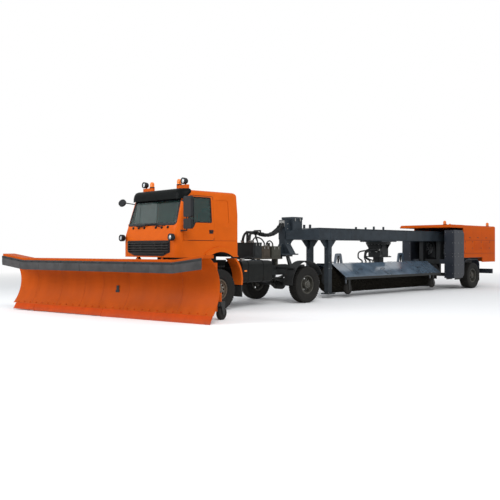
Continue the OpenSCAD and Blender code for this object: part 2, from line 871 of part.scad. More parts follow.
// the outer skin of the cab to a depth
module cab_skin(depth) {
  difference() {
    children();
    cab_form(depth, cab_under);
  }
}
module cab_shell() {
  color(orange)
    at_axle() {
      difference() {
        union() {
          difference() {
            cab_form(0, cab_low);
            cab_form(cab_wall, cab_under + floor_t);
            intersection() {
              cab_form(cab_wall, cab_low - over);
              block([-cab_back, cab_front], [-cab_half, cab_half], [cab_low - over, cab_under]);
            }
          }
          both_sides() {
            // wheel arch flare
            intersection() {
              side_plate([cab_half - cab_wall, cab_half + flare_out])
                translate([0, arch_z])
                  circle(r = flare_r, $fn = 96);
              block([-cab_back + over, flare_front], [0, cab_w], [cab_low, cab_top]);
            }
            // inner wheel housing closing the floor round the arch
            intersection() {
              side_plate([house_in, cab_half - rail_web])
                translate([0, arch_z])
                  circle(r = arch_r + cab_wall, $fn = 96);
              block([-cab_back + over, cab_front], [0, cab_half], [cab_low, cab_under + floor_t]);
            }
            tilt_lug();
          }
        }
        both_sides() {
          rod_y(arch_r, 0, [house_in + rail_web, cab_w], arch_z);
          side_plate([house_in, cab_w])
            door_outline(0);
          // pressed panel behind the door and the belt line
          cab_skin(panel_t)
            side_plate([house_in, cab_w])
              polygon(rounded_box(panel_x, panel_z, panel_round));
          cab_skin(groove_t)
            block([-cab_back + rear_corner, door_front_x + front_corner / 4], [house_in, cab_w],
                  [door_low - groove_h / 2, door_low + groove_h / 2]);
          rod_y(tilt_pin_r + run, tilt_pin_x, [tilt_lug_y - tilt_lug_w, tilt_lug_y + tilt_lug_w], tilt_pin_z);
          for (z = hinge_z)
            rod_z(hinge_r + run + seam, hinge_x, hinge_y, [z - seam, z + hinge_h + seam]);
        }
        front_plate([window_step_x, cab_front + over])
          screen_outline(0);
        front_plate([cab_front - cab_wall - over, cab_front + over])
          grille_outline(-run);
      }
      both_sides()
        door_pins();
    }
}
// hinge pins that stay with the cab
module door_pins() {
  rod_z(hinge_pin_r, hinge_x, hinge_y, [hinge_z[0] - hinge_h, hinge_z[1] + hinge_h * 2]);
  for (z = hinge_z, end = [-hinge_h - seam, hinge_h + seam])
    block([hinge_x, hinge_x + hinge_r], [cab_half - cab_wall, hinge_y + hinge_pin_r],
          [z + end, z + end + hinge_h]);
}
module tilt_lug() {
  side_plate([tilt_lug_y - tilt_lug_w / 2, tilt_lug_y + tilt_lug_w / 2]) {
    translate([tilt_pin_x, tilt_pin_z])
      circle(r = tilt_lug_r);
    translate([tilt_pin_x - tilt_lug_r, tilt_pin_z])
      square([tilt_lug_r * 2, cab_under + over - tilt_pin_z]);
  }
}
grille_half = 960;
grille_low_half = 640;
grille_low = 1475;
grille_mid = 1580;
grille_high = 1880;
grille_round = 36;
grille_bars = 5;
grille_rim = 40;
grille_deep = 30;
bar_t = 26;
module grille_outline(gap) {
  polygon(rounded([[-grille_low_half + gap, grille_low + gap, grille_round],
                   [grille_low_half - gap, grille_low + gap, grille_round],
                   [grille_half - gap, grille_mid, grille_round],
                   [grille_half - gap, grille_high - gap, grille_round],
                   [-grille_half + gap, grille_high - gap, grille_round],
                   [-grille_half + gap, grille_mid, grille_round]]));
}
module grille() {
  color(rubber)
    at_axle() {
      difference() {
        front_plate([cab_front - cab_wall, cab_front + panel_t])
          grille_outline(run);
        front_plate([cab_front - grille_deep, cab_front + cab_wall])
          grille_outline(grille_rim);
      }
      intersection() {
        front_plate([cab_front - cab_wall + rail_web, cab_front])
          grille_outline(grille_rim - over);
        for (i = [1:grille_bars])
          translate([0, 0, mix(grille_low, grille_high, i / (grille_bars + 1))])
            block([cab_front - cab_wall, cab_front], [-grille_half, grille_half], [-bar_t / 2, bar_t / 2]);
      }
    }
}
glass_t = 12;
// a pane one glass thickness under the skin, cut to the outline that follows
module pane() {
  intersection() {
    difference() {
      cab_form(glass_t, cab_under);
      cab_form(glass_t * 2, cab_under);
    }
    children();
  }
}
module windscreen() {
  color(glass)
    at_axle()
      pane()
        front_plate([window_step_x, cab_front])
          screen_outline(run);
}
// left door and its glass, mirrored for the right
door_gap = seam / 2;
handle_x = [255, 395];
handle_z = [2110, 2160];
module door_form() {
  difference() {
    union() {
      intersection() {
        difference() {
          cab_form(0, cab_under);
          cab_form(cab_wall, cab_under);
        }
        side_plate([house_in, cab_w])
          door_outline(door_gap);
      }
      for (z = hinge_z) {
        rod_z(hinge_r, hinge_x, hinge_y, [z, z + hinge_h]);
        block([hinge_x - hinge_r - hinge_h, hinge_x], [hinge_y - hinge_r, hinge_y], [z, z + hinge_h]);
      }
      block(handle_x, [cab_half - over, cab_half + panel_t], handle_z);
    }
    side_plate([house_in, cab_w])
      window_outline(0);
    for (z = hinge_z)
      rod_z(hinge_pin_r + run, hinge_x, hinge_y, [z - over, z + hinge_h + over]);
  }
}
module door_glass_form() {
  pane()
    side_plate([house_in, cab_w])
      window_outline(run);
}
module door_left() {
  color(orange)
    at_axle()
      door_form();
}
module door_right() {
  color(orange)
    at_axle()
      mirror([0, 1, 0])
        door_form();
}
module door_left_glass() {
  color(glass)
    at_axle()
      door_glass_form();
}
module door_right_glass() {
  color(glass)
    at_axle()
      mirror([0, 1, 0])
        door_glass_form();
}
// dash, steering wheel and seat stands on the cab floor
dash_front = 1270;
dash_rear = 900;
dash_top = 2290;
dash_low = 1900;
dash_clear = 145;
dash_half = cab_half - dash_clear;
dash_round = 30;
dash_slope = 90;
dash_leg_share = 0.6;
seat_x = 250;
seat_share = 0.45;
seat_y = cab_half * seat_share;
seat_w = 480;
seat_len = 500;
seat_z = 2060;
seat_t = 130;
back_h = 720;
back_t = 130;
seat_lean = 100;
seat_round = 40;
seat_base = 300;
wheel_ring_r = 220;
wheel_bar_r = 16;
column_r = 36;
column_tilt = 28;
column_len = 320;
module cab_interior() {
  color(black)
    at_axle() {
      side_plate([-dash_half, dash_half])
        polygon(rounded([[dash_rear, dash_low, dash_round * 2], [dash_front, dash_low, dash_round],
                         [dash_front, dash_top, dash_round],
                         [dash_rear + dash_slope, dash_top, dash_round * 2]]));
      for (s = [-1, 1])
        translate([0, s * dash_half * dash_leg_share, 0])
          block([dash_rear + rail_w, dash_front - rail_w], [-rail_w, rail_w],
                [cab_under + floor_t, dash_low + over]);
      translate([dash_rear + rail_w, seat_y, dash_top - rail_w])
        rotate([0, -90 + column_tilt, 0]) {
          cylinder(r = column_r, h = column_len);
          translate([0, 0, column_len])
            rotate_extrude()
              translate([wheel_ring_r, 0])
                circle(r = wheel_bar_r);
          for (a = [0, 120, 240])
            rotate([0, 0, a])
              translate([0, -wheel_bar_r, column_len - wheel_bar_r])
                cube([wheel_ring_r, wheel_bar_r * 2, wheel_bar_r]);
        }
      for (s = [-1, 1])
        translate([seat_x, s * seat_y, 0])
          block([-seat_base / 2, seat_base / 2], [-seat_base / 2, seat_base / 2],
                [cab_under + floor_t, seat_z]);
    }
}
module seats() {
  color(grey)
    at_axle()
      for (s = [-1, 1])
        translate([seat_x - seat_len / 2, s * seat_y, seat_z])
          side_plate([-seat_w / 2, seat_w / 2])
            polygon(rounded([
              [0, 0, seat_round], [seat_len, 0, seat_round], [seat_len, seat_t, seat_round],
              [back_t, seat_t, seat_round], [back_t - seat_lean, back_h, seat_round],
              [-seat_lean, back_h, seat_round]]));
}

// sun visor round the front of the roof
visor_low = 2960;
visor_high = 3245;
visor_back = 960;
visor_t = 30;
visor_reach = 190;
visor_foot = 60;
visor_round = 260;
visor_half = roof_half + visor_t;
module sun_visor() {
  color(grey)
    at_axle()
      difference() {
        intersection() {
          side_plate([-visor_half, visor_half])
            polygon(rounded([[visor_back, cab_top - visor_foot, 0], [roof_front_x + visor_foot, visor_low, 0],
                             [roof_front_x + visor_reach, visor_low, visor_t],
                             [roof_front_x + visor_reach - visor_foot, visor_high, visor_foot],
                             [visor_back, visor_high, 0]]));
          plan_plate([visor_low - over, visor_high + over])
            polygon(rounded([[visor_back - over, -visor_half, 0],
                             [roof_front_x + visor_reach, -visor_half, visor_round],
                             [roof_front_x + visor_reach, visor_half, visor_round],
                             [visor_back - over, visor_half, 0]], 8));
          front_plate([visor_back - over, cab_front])
            polygon(rounded([[-visor_half, visor_low - over, 0], [visor_half, visor_low - over, 0],
                             [visor_half - visor_t, visor_high + over, roof_round],
                             [-visor_half + visor_t, visor_high + over, roof_round]]));
        }
        cab_form(-run, cab_under);
        // open space under the brim
        block([roof_front_x - rail_h, roof_front_x + visor_reach - visor_t],
              [-roof_half + visor_round / 2, roof_half - visor_round / 2],
              [visor_low - over, visor_low + visor_t * 4]);
      }
}

// mirrors: a stack on the left, a round one on an arm on the right
mirror_x = [1262, 1340];
mirror_y = [1340, 1640];
mirror_z = [2170, 3000];
mirror_split = 2450;
mirror_gap = 20;
mirror_arm_r = 14;
mirror_foot = 20;
mirror_stem = [1302, 1430];
// where the lower and the upper arm leave the cab
mirror_roots = [[1300, 1225, 2130], [1145, 1175, 2910]];
mirror_root_deep = 130;
kerb_root = [1140, -1040, 2900];
kerb_tip = [1300, -1400, 2960];
kerb_r = 112;
kerb_t = 46;
module mirrors() {
  color(rubber)
    at_axle()
      difference() {
        union() {
          for (z = [[mirror_z[0], mirror_split - mirror_gap], [mirror_split + mirror_gap, mirror_z[1]]])
            front_plate(mirror_x)
              polygon(rounded_box(mirror_y, z, mirror_gap * 2));
          for (p = mirror_roots) {
            bar(mirror_arm_r, p, [mirror_stem[0], mirror_stem[1], p[2]]);
            block([p[0] - mirror_foot, p[0] + mirror_foot], [p[1] - mirror_root_deep, p[1] + mirror_arm_r],
                  [p[2] - mirror_foot, p[2] + mirror_foot]);
          }
          rod_z(mirror_arm_r, mirror_stem[0], mirror_stem[1],
                [mirror_roots[0][2] - mirror_arm_r, mirror_z[1] - mirror_gap * 2]);
          bar(mirror_arm_r, kerb_root, kerb_tip);
          translate(kerb_tip - [0, kerb_r * bead_share, 0])
            rotate([0, 90 - column_tilt, column_tilt])
              translate([0, 0, -kerb_t / 2])
                cylinder(r = kerb_r, h = kerb_t);
        }
        cab_form(-run, cab_under);
      }
}

// roof brackets with a beacon and a work lamp, and the lamps over the plow
rack_x = 900;
rack_y = 765;
rack_h = 150;
rack_w = 440;
rack_t = 40;
beacon_y = 610;
beacon_r = 62;
beacon_h = 170;
work_y = 880;
work_r = 82;
work_t = 80;
work_rise = 95;
plow_lamp_x = 1500;
plow_lamp_y = 1120;
plow_lamp_z = 1960;
plow_lamp_r = 90;
plow_lamp_t = 90;
module beacon_form() {
  rotate_extrude()
    polygon(rounded([[0, 0, 0], [beacon_r, 0, 0], [beacon_r, beacon_h, beacon_r * tread_share],
                     [0, beacon_h, 0]]));
}
module cab_lamps() {
  color(orange)
    at_axle()
      both_sides()
        difference() {
          union() {
            block([rack_x - rack_t, rack_x + rack_t], [rack_y - rack_w / 2, rack_y + rack_w / 2],
                  [cab_top - rack_t, cab_top + rack_h]);
            translate([rack_x, beacon_y, cab_top + rack_h - over])
              beacon_form();
            rod_x(work_r, [rack_x, rack_x + work_t], work_y, cab_top + rack_h + work_rise);
            block([rack_x - rail_web, rack_x + rail_web], [work_y - rail_web, work_y + rail_web],
                  [cab_top + rack_h - over, cab_top + rack_h + work_rise]);
            rod_x(plow_lamp_r, [plow_lamp_x, plow_lamp_x + plow_lamp_t], plow_lamp_y, plow_lamp_z);
            block([cab_front - front_corner, plow_lamp_x + over],
                  [plow_lamp_y - rail_web, plow_lamp_y + rail_web],
                  [plow_lamp_z - rail_web, plow_lamp_z + rail_web]);
          }
          cab_form(-run, cab_under);
        }
}

// push frame: two arms from the hitch to the swing boss
arm_w = 110;
arm_low = 580;
arm_high = 740;
boss_out_r = 64;
swing_pin_r = 36;
clevis_low = 520;
clevis_t = 44;
clevis_high = 756;
lift_eye_x = 2120;
lift_eye_z = 790;
lift_eye_t = 50;
swing_base_x = 1640;
swing_base_y = 370;
swing_base_z = 860;
swing_eye_h = 80;
swing_eye_r = 60;
module push_frame() {
  color(orange)
    at_axle() {
      difference() {
        union() {
          both_sides() {
            side_plate([lift_ear_y - lift_eye_w / 2, lift_ear_y + lift_eye_w / 2])
              translate([lift_x, lift_z])
                circle(r = rail_w - rail_web);
            plan_plate([arm_low, arm_high])
              polygon([[lift_x, lift_ear_y - lift_eye_w / 2], [lift_x, lift_ear_y + lift_eye_w / 2],
                       [lift_x + arm_w, lift_ear_y + lift_eye_w / 2], [swing_x, arm_w / 2],
                       [swing_x, -arm_w / 2], [lift_x + arm_w, lift_ear_y - lift_eye_w / 2]]);
          }
          rod_z(boss_out_r, swing_x, 0, [clevis_low + clevis_t + run, clevis_high - run]);
          block([swing_base_x, swing_base_x + arm_w], [-lift_ear_y + arm_w, lift_ear_y - arm_w],
                [arm_low + rail_web, arm_high - rail_web]);
          block([lift_eye_x - lift_eye_t, lift_eye_x + lift_eye_t], [-arm_w * 2, arm_w * 2],
                [arm_low + rail_web, arm_high - rail_web]);
          // lug for the lift cylinder
          for (y = ear_faces(lift_eye_w))
            side_plate([y, y + ear_w]) {
              translate([lift_eye_x, lift_eye_z])
                circle(r = lift_eye_t);
              translate([lift_eye_x - lift_eye_t, arm_high - rail_w])
                square([lift_eye_t * 2, lift_eye_z - arm_high + rail_w]);
            }
          // post for the swing cylinder
          rod_z(rail_w / 2, swing_base_x, swing_base_y,
                [arm_high - rail_w, swing_base_z - swing_eye_h / 2 - run]);
          rod_z(lift_pin_r, swing_base_x, swing_base_y, [arm_high - rail_w, swing_base_z + swing_eye_h / 2]);
        }
        both_sides()
          rod_y(lift_pin_r + run, lift_x, [lift_ear_y - lift_eye_w, lift_ear_y + lift_eye_w], lift_z);
      }
      rod_z(swing_pin_r, swing_x, 0, [clevis_low, clevis_high + clevis_t]);
    }
}
// a cylinder along +x from its base eye, later turned to its line
barrel_r = 56;
rod_r = 30;
neck_share = 0.7;
module barrel_form(length, eye_r, eye_w, pin) {
  difference() {
    union() {
      rod_x(barrel_r, [eye_r + rail_w / 2, length], 0, 0);
      rod_y(eye_r, 0, [-eye_w / 2, eye_w / 2], 0);
      block([0, eye_r + rail_w], [-eye_w / 2, eye_w / 2], [-eye_r * neck_share, eye_r * neck_share]);
    }
    rod_y(pin + run, 0, [-eye_w, eye_w], 0);
    rod_x(rod_r + run, [eye_r + rail_w + rail_web, length + over], 0, 0);
  }
}
// from is where the rod begins inside the barrel, to is its eye's centre
module rod_form(from, to, eye_r, eye_w) {
  rod_x(rod_r, [from, to], 0, 0);
  rod_y(eye_r, to, [-eye_w / 2, eye_w / 2], 0);
}
lift_span = norm([lift_eye_x - lift_top_x, lift_eye_z - lift_top_z]);
lift_slope = atan2(lift_top_z - lift_eye_z, lift_eye_x - lift_top_x);
lift_barrel_len = 470;
lift_rod_from = 360;
module at_lift() {
  at_axle()
    translate([lift_top_x, 0, lift_top_z])
      rotate([0, lift_slope, 0])
        children();
}
module lift_barrel() {
  color(black)
    at_lift()
      barrel_form(lift_barrel_len, swing_eye_r, lift_eye_w, lift_pin_r);
}
module lift_rod() {
  color(bright)
    at_lift()
      rod_form(lift_rod_from, lift_span, lift_eye_t, lift_eye_w);
}
// the swing cylinder runs from its post to a lug on the blade
swing_lug_x = -102;
swing_lug_y = 430;
swing_tip = [swing_x + swing_lug_x * cos(blade_turn) - swing_lug_y * sin(blade_turn),
             swing_lug_x * sin(blade_turn) + swing_lug_y * cos(blade_turn)];
swing_span = norm(swing_tip - [swing_base_x, swing_base_y]);
swing_slope = atan2(swing_tip[1] - swing_base_y, swing_tip[0] - swing_base_x);
swing_barrel_len = 640;
swing_rod_from = 290;
module at_swing() {
  at_axle()
    translate([swing_base_x, swing_base_y, swing_base_z])
      rotate([0, 0, swing_slope])
        rotate([90, 0, 0])
          children();
}
module swing_barrel() {
  color(black)
    at_swing()
      barrel_form(swing_barrel_len, swing_eye_r, swing_eye_h, lift_pin_r);
}
module swing_rod() {
  color(bright)
    at_swing()
      rod_form(swing_rod_from, swing_span, swing_eye_r - rail_web, swing_eye_h);
}

// blade, drawn from its middle: x ahead, y along the blade
blade_half = blade_len / 2;
pivot_y = -blade_shift;
blade_depth = 380;
blade_deep_x = edge_ahead - blade_depth;
edge_top = 180;
header_t = 70;
header_in = 160;
header_out = 215;
header_back = edge_ahead - header_in;
header_front = edge_ahead + header_out;
end_len = 860;
kink_y = blade_half - end_len;
rib_back = -100;
rib_low = 240;
rib_t = 16;
beam_d = 120;
beam_z = [300, 1040];
rib_shares = [-0.94, -0.56, -0.2, 0.2, 0.56, 0.94];
module header_outline(top, low) {
  polygon([[-blade_half, top + header_rise], [-kink_y, top], [kink_y, top], [blade_half, top + header_rise],
           [blade_half, low + header_rise], [kink_y, low], [-kink_y, low], [-blade_half, low + header_rise]]);
}
// everything ahead of the skin's two arcs, pushed back by a depth
module ahead_of_skin(depth, high) {
  intersection() {
    rod_y(blade_low_r + depth, blade_deep_x + blade_low_r, [-blade_half - over, blade_half + over],
          blade_mid_z, $fn = 128);
    block([-edge_ahead, cab_top], [-blade_half, blade_half], [0, blade_mid_z]);
  }
  intersection() {
    rod_y(blade_top_r + depth, blade_deep_x + blade_top_r, [-blade_half - over, blade_half + over],
          blade_mid_z, $fn = 128);
    block([-edge_ahead, cab_top], [-blade_half, blade_half], [blade_mid_z, high]);
  }
}
module blade_skin_form() {
  intersection() {
    front_plate([rib_back, header_front])
      polygon([[-blade_half, edge_top], [blade_half, edge_top],
               [blade_half, header_top - header_t + header_rise + over],
               [kink_y, header_top - header_t + over], [-kink_y, header_top - header_t + over],
               [-blade_half, header_top - header_t + header_rise + over]]);
    difference() {
      ahead_of_skin(blade_skin, cab_top);
      ahead_of_skin(0, cab_top);
    }
  }
}
module rib_at(y) {
  difference() {
    block([rib_back, edge_ahead - rail_h + rail_w], [y - rib_t / 2, y + rib_t / 2],
          [rib_low, header_top - header_t + over]);
    ahead_of_skin(blade_skin / 2, cab_top);
  }
}
plow_caster_x = -470;
caster_in = 410;
plow_caster_y = blade_half - caster_in;
caster_tube_r = 55;
caster_tube_z = [430, 640];
caster_pin_r = 28;
module moldboard() {
  color(orange)
    at_blade()
      difference() {
        union() {
          blade_skin_form();
          for (s = rib_shares)
            rib_at(s * blade_half);
          for (z = beam_z)
            block([rib_back, rib_back + beam_d], [blade_half * rib_shares[0], blade_half * rib_shares[5]],
                  [z, z + beam_d]);
          front_plate([header_back, header_front])
            header_outline(header_top, header_top - header_t);
          translate([0, pivot_y, 0])
            blade_brackets();
          // arms of the support wheels
          for (s = [-1, 1])
            translate([0, s * plow_caster_y, 0]) {
              block([plow_caster_x, rib_back + over], [-caster_tube_r / 2, caster_tube_r / 2],
                    [caster_tube_z[0] + rail_web, caster_tube_z[1] - rail_web]);
              rod_z(caster_tube_r, plow_caster_x, 0, caster_tube_z);
              block([rib_back, rib_back + rail_web], [-beam_d, beam_d], [beam_z[0], beam_z[1] + over]);
            }
        }
        ahead_of_skin(0, header_top - header_t);
        rod_z(swing_pin_r + run, 0, pivot_y, [clevis_low - over, clevis_high + clevis_t + over]);
        for (s = [-1, 1])
          rod_z(caster_pin_r + run, plow_caster_x, s * plow_caster_y,
                [caster_tube_z[0] - over, caster_tube_z[1] + over]);
      }
}
// clevis of the swing pivot and lug of the swing cylinder
module blade_brackets() {
  for (z = [clevis_low, clevis_high])
    plan_plate([z, z + clevis_t])
      polygon([[-boss_out_r - rail_web, -boss_out_r], [-boss_out_r - rail_web, boss_out_r],
               [blade_deep_x + rail_w, rail_h], [blade_deep_x + rail_w, -rail_h]]);
  for (z = [swing_base_z - swing_eye_h / 2 - ear_w - run, swing_base_z + swing_eye_h / 2 + run])
    plan_plate([z, z + ear_w]) {
      translate([swing_lug_x, swing_lug_y])
        circle(r = swing_eye_r);
      translate([swing_lug_x, swing_lug_y - swing_eye_r])
        square([blade_deep_x - swing_lug_x + rail_web / 2, swing_eye_r * 2]);
    }
}
edge_t = 30;
edge_gap = 6;
edge_lift = 14;
edge_shares = [-0.956, -0.72, 0.02, 1];
edge_drop = blade_mid_z - edge_top;
edge_x = blade_deep_x + blade_low_r - sqrt(blade_low_r * blade_low_r - edge_drop * edge_drop);
module cutting_edge() {
  color(orange)
    at_blade()
      for (i = [0:2])
        side_plate([edge_shares[i] * blade_half + edge_gap / 2,
                    edge_shares[i + 1] * blade_half - edge_gap / 2])
          polygon([[edge_ahead, edge_lift * (2 - i)], [edge_ahead - edge_t, edge_lift * (2 - i)],
                   [edge_x - blade_skin, edge_top - run], [edge_x + edge_t, edge_top - run]]);
}
flap_thick = 26;
flap_down = 55;
flap_h = 250;
flap_short = 40;
flap_top = header_top - flap_down;
module snow_flap() {
  color(rubber)
    at_blade()
      intersection() {
        front_plate([header_front + run, header_front + run + flap_thick])
          header_outline(flap_top, flap_top - flap_h);
        block([header_front, header_front + rail_w], [-blade_half, blade_half - flap_short], [0, cab_top]);
      }
}
fork_trail = 80;
fork_t = 14;
wheel_gap = 6;
wheel_round = 12;
caster_axle_r = 16;
plow_wheel_w = 110;
// fork drawn under its stem, trailing towards -x
module caster_fork_form(wheel_r, wheel_w, tube, pin) {
  crown = tube[0] - run;
  half = wheel_w / 2 + wheel_gap;
  rod_z(pin, 0, 0, [crown - fork_t, tube[1] + fork_t]);
  rod_z(pin + fork_t, 0, 0, [tube[1] + run, tube[1] + fork_t]);
  block([-fork_trail - caster_tube_r, caster_tube_r], [-half - fork_t, half + fork_t],
        [crown - fork_t, crown]);
  for (y = [-half - fork_t, half])
    side_plate([y, y + fork_t])
      polygon([[-fork_trail - caster_tube_r, crown - over], [caster_tube_r, crown - over],
               [-fork_trail + caster_axle_r * 2, wheel_r - caster_axle_r * 2],
               [-fork_trail - caster_axle_r * 2, wheel_r - caster_axle_r * 2]]);
  rod_y(caster_axle_r, -fork_trail, [-half - fork_t, half + fork_t], wheel_r);
}
module caster_wheel_form(wheel_r, wheel_w) {
  difference() {
    translate([-fork_trail, 0, wheel_r])
      rotate([90, 0, 0])
        rotate_extrude($fn = 64)
          polygon(rounded([[0, -wheel_w / 2, 0], [wheel_r * tread_share, -wheel_w / 2, 0],
                           [wheel_r, -wheel_w / 3, wheel_round],
                           [wheel_r, wheel_w / 3, wheel_round], [wheel_r * tread_share, wheel_w / 2, 0],
                           [0, wheel_w / 2, 0]], 4));
    rod_y(caster_axle_r + run, -fork_trail, [-wheel_w, wheel_w], wheel_r);
  }
}
module plow_fork(s) {
  color(black)
    at_blade()
      translate([plow_caster_x, s * plow_caster_y, 0])
        caster_fork_form(plow_wheel_r, plow_wheel_w, caster_tube_z, caster_pin_r);
}
module plow_wheel(s) {
  color(rubber)
    at_blade()
      translate([plow_caster_x, s * plow_caster_y, 0])
        caster_wheel_form(plow_wheel_r, plow_wheel_w);
}
module plow_fork_left() {
  plow_fork(1);
}
module plow_fork_right() {
  plow_fork(-1);
}
module plow_wheel_left() {
  plow_wheel(1);
}
module plow_wheel_right() {
  plow_wheel(-1);
}

// trailer frame, measured back from the kingpin
module at_tail() {
  at_kingpin()
    translate([-trailer_base, 0, 0])
      children();
}
column_half = 130;
column_x = [-300, -40];
column_top = 2580;
base_t = 40;
base_front = 340;
base_rear = 430;
kingpin_r = 45;
kingpin_low = 1330;
neck_front = -60;
neck_rear = -1300;
neck_low = 1960;
neck_high = 2220;
haunch = 260;
beam_low = beam_top - beam_h;
beam_in = beam_y - beam_w / 2;
beam_out = beam_y + beam_w / 2;
flange_out = 20;
flange_t = 24;
leg_w = 180;
leg_low = 130;
foot_half = 170;
foot_t = 40;
gusset = 330;
lower_rail_h = 220;
lower_rail_top = 1250;
lower_rail_low = lower_rail_top - lower_rail_h;
// posts down to the rear unit, ahead of the trailer axle
portal = [1100, 1380];
beam_rear = portal[0] - trailer_base;
box_x = [-760, -300];
box_half = 230;
box_high = 2670;
ring_r = 440;
ring_t = 90;
lug_len = 90;
lug_h = 110;
lug_t = 30;
lug_stations = [-800, -1270, -4500, -5100];
tow_r = 26;
function lug_y(x) = x > neck_rear ? column_half : beam_y;
module trailer_frame() {
  color(grey)
    difference() {
      union() {
        at_kingpin() {
          neck_form();
          both_sides() {
            block([beam_rear, neck_rear + over], [beam_in, beam_out], [beam_low, beam_top]);
            for (z = [beam_low, beam_top - flange_t])
              block([beam_rear, neck_rear + over], [beam_in - flange_out, beam_out + flange_out],
                    [z, z + flange_t]);
            leg_form();
            for (x = lug_stations)
              block([x - lug_len / 2, x + lug_len / 2], [lug_y(x) - lug_t / 2, lug_y(x) + lug_t / 2],
                    [beam_top - beam_h / 2, beam_top + lug_h]);
          }
          for (x = [neck_rear - leg_w, -leg_back, -brush_back + ring_r, -brush_back - ring_r,
                    beam_rear + leg_w])
            block([x - leg_w / 2, x + leg_w / 2], [-beam_y, beam_y],
                  [beam_low + flange_t, beam_top - beam_h / 3]);
          // slewing ring seat
          block([-brush_back - ring_r - base_t, -brush_back + ring_r + base_t], [-beam_out, beam_out],
                [beam_low - base_t, beam_low + over]);
        }
        at_tail()
          rear_frame();
      }
      at_brush()
        rod_z(spindle_r, 0, 0, [beam_low - base_t - over, beam_low + flange_t]);
      at_tail()
        rod_z(tow_r, -hood_behind - tow_len / 2, 0, [lower_rail_low - over, lower_rail_low + base_t + over]);
    }
}
// kingpin, its plate, the column and the neck that widens to the beams
module neck_form() {
  foot = fifth_top + base_t - over;
  rod_z(kingpin_r, 0, 0, [kingpin_low, foot]);
  block([-base_rear, base_front], [-plate_half, plate_half], [fifth_top + run, fifth_top + base_t]);
  block(column_x, [-column_half, column_half], [foot, column_top]);
  both_sides()
    front_plate(column_x)
      polygon([[column_half - over, foot], [plate_half, foot], [column_half - over, foot + gusset]]);
  side_plate([-base_t, base_t])
    polygon([[column_x[1] - over, foot], [base_front, foot], [column_x[1] - over, foot + gusset]]);
  // round haunch under the neck
  difference() {
    block([column_x[0] - haunch, column_x[0] + over], [-column_half, column_half],
          [neck_low - haunch, neck_low + over]);
    rod_y(haunch, column_x[0] - haunch, [-column_half - over, column_half + over], neck_low - haunch);
  }
  intersection() {
    side_plate([-cab_half, cab_half])
      polygon([[neck_rear, beam_low], [neck_front, neck_low], [neck_front, neck_high],
               [neck_rear, beam_top]]);
    plan_plate([beam_low - over, beam_top + over])
      polygon([[neck_front, -column_half - base_t], [neck_front, column_half + base_t],
               [neck_rear, beam_out], [neck_rear, -beam_out]]);
  }
  // box behind the column
  block(box_x, [-box_half, box_half], [neck_low + base_t, box_high]);
}
module leg_form() {
  block([-leg_back - leg_w / 2, -leg_back + leg_w / 2], [beam_in, beam_out], [leg_low, beam_low + over]);
  block([-leg_back - foot_half, -leg_back + foot_half], [beam_y - foot_half, beam_y + foot_half],
        [leg_low, leg_low + foot_t]);
  side_plate([beam_y - base_t / 2, beam_y + base_t / 2])
    polygon([[-leg_back + leg_w / 2 + gusset, beam_low + over],
             [-leg_back - leg_w / 2 - gusset, beam_low + over],
             [-leg_back - leg_w / 2, beam_low - gusset], [-leg_back + leg_w / 2, beam_low - gusset]]);
}
// posts, rails, floor and tow eye, drawn from the trailer axle
module rear_frame() {
  both_sides() {
    block(portal, [beam_in, beam_out], [lower_rail_low, beam_low + over]);
    block([-hood_behind + rail_h, portal[1]], [beam_in, beam_out], [lower_rail_low, lower_rail_top]);
  }
  for (x = [portal[0], -tyre_r, -hood_behind + rail_h + over])
    block([x, x + leg_w], [-beam_y, beam_y], [lower_rail_low, lower_rail_top - base_t]);
  block([-hood_behind + hood_t + run, hood_front], [-unit_half + hood_t + run, unit_half - hood_t - run],
        [lower_rail_top - over, hood_low + run]);
  block([-hood_behind - tow_len, -hood_behind + rail_h + leg_w], [-tow_half, tow_half],
        [lower_rail_low, lower_rail_low + base_t]);
}

// trailer axle with its trailing arms
trailer_reach = 800;
trailer_tip_y = 1140;
trailer_arm = 640;
trailer_dish = 40;
trailer_nose = 120;
module trailer_axle() {
  color(black)
    at_tail() {
      rod_y(axle_r, 0, [-trailer_reach, trailer_reach], trailer_tyre_r);
      both_sides() {
        rod_y(spindle_r, 0, [trailer_reach - over, trailer_tip_y], trailer_tyre_r);
        block([-axle_r, axle_r], [beam_in, beam_out], [trailer_tyre_r, lower_rail_low - run]);
        side_plate([beam_in, beam_out])
          polygon([[-rail_web, trailer_tyre_r + axle_r], [-rail_web, trailer_tyre_r - axle_r],
                   [trailer_arm, lower_rail_low - rail_h], [trailer_arm, lower_rail_low - run],
                   [trailer_arm - rail_h, lower_rail_low - run]]);
      }
    }
}
module trailer_tyre(s) {
  color(rubber)
    at_tail()
      wheel_at(0, trailer_track_y, trailer_tyre_r, s)
        tyre_form(trailer_tyre_r, trailer_tyre_w, rim_r + run);
}
module trailer_rim(s) {
  color(rim_grey)
    at_tail()
      wheel_at(0, trailer_track_y, trailer_tyre_r, s)
        rim_form(rim_r, trailer_tyre_w, trailer_dish, trailer_nose, front_hole_r, front_holes);
}
module trailer_tyre_left() {
  trailer_tyre(1);
}
module trailer_tyre_right() {
  trailer_tyre(-1);
}
module trailer_rim_left() {
  trailer_rim(1);
}
module trailer_rim_right() {
  trailer_rim(-1);
}

// rear unit: hood, ducts, engine with blower, guards, drawn from the trailer axle
hood_t = 40;
hood_front = 710;
hood_tail = -930;
hood_low = 1280;
hood_round = 60;
roof_ahead = 1840;
roof_t = 120;
tail_low = lower_rail_low + base_t + seam;
belt_t = 16;
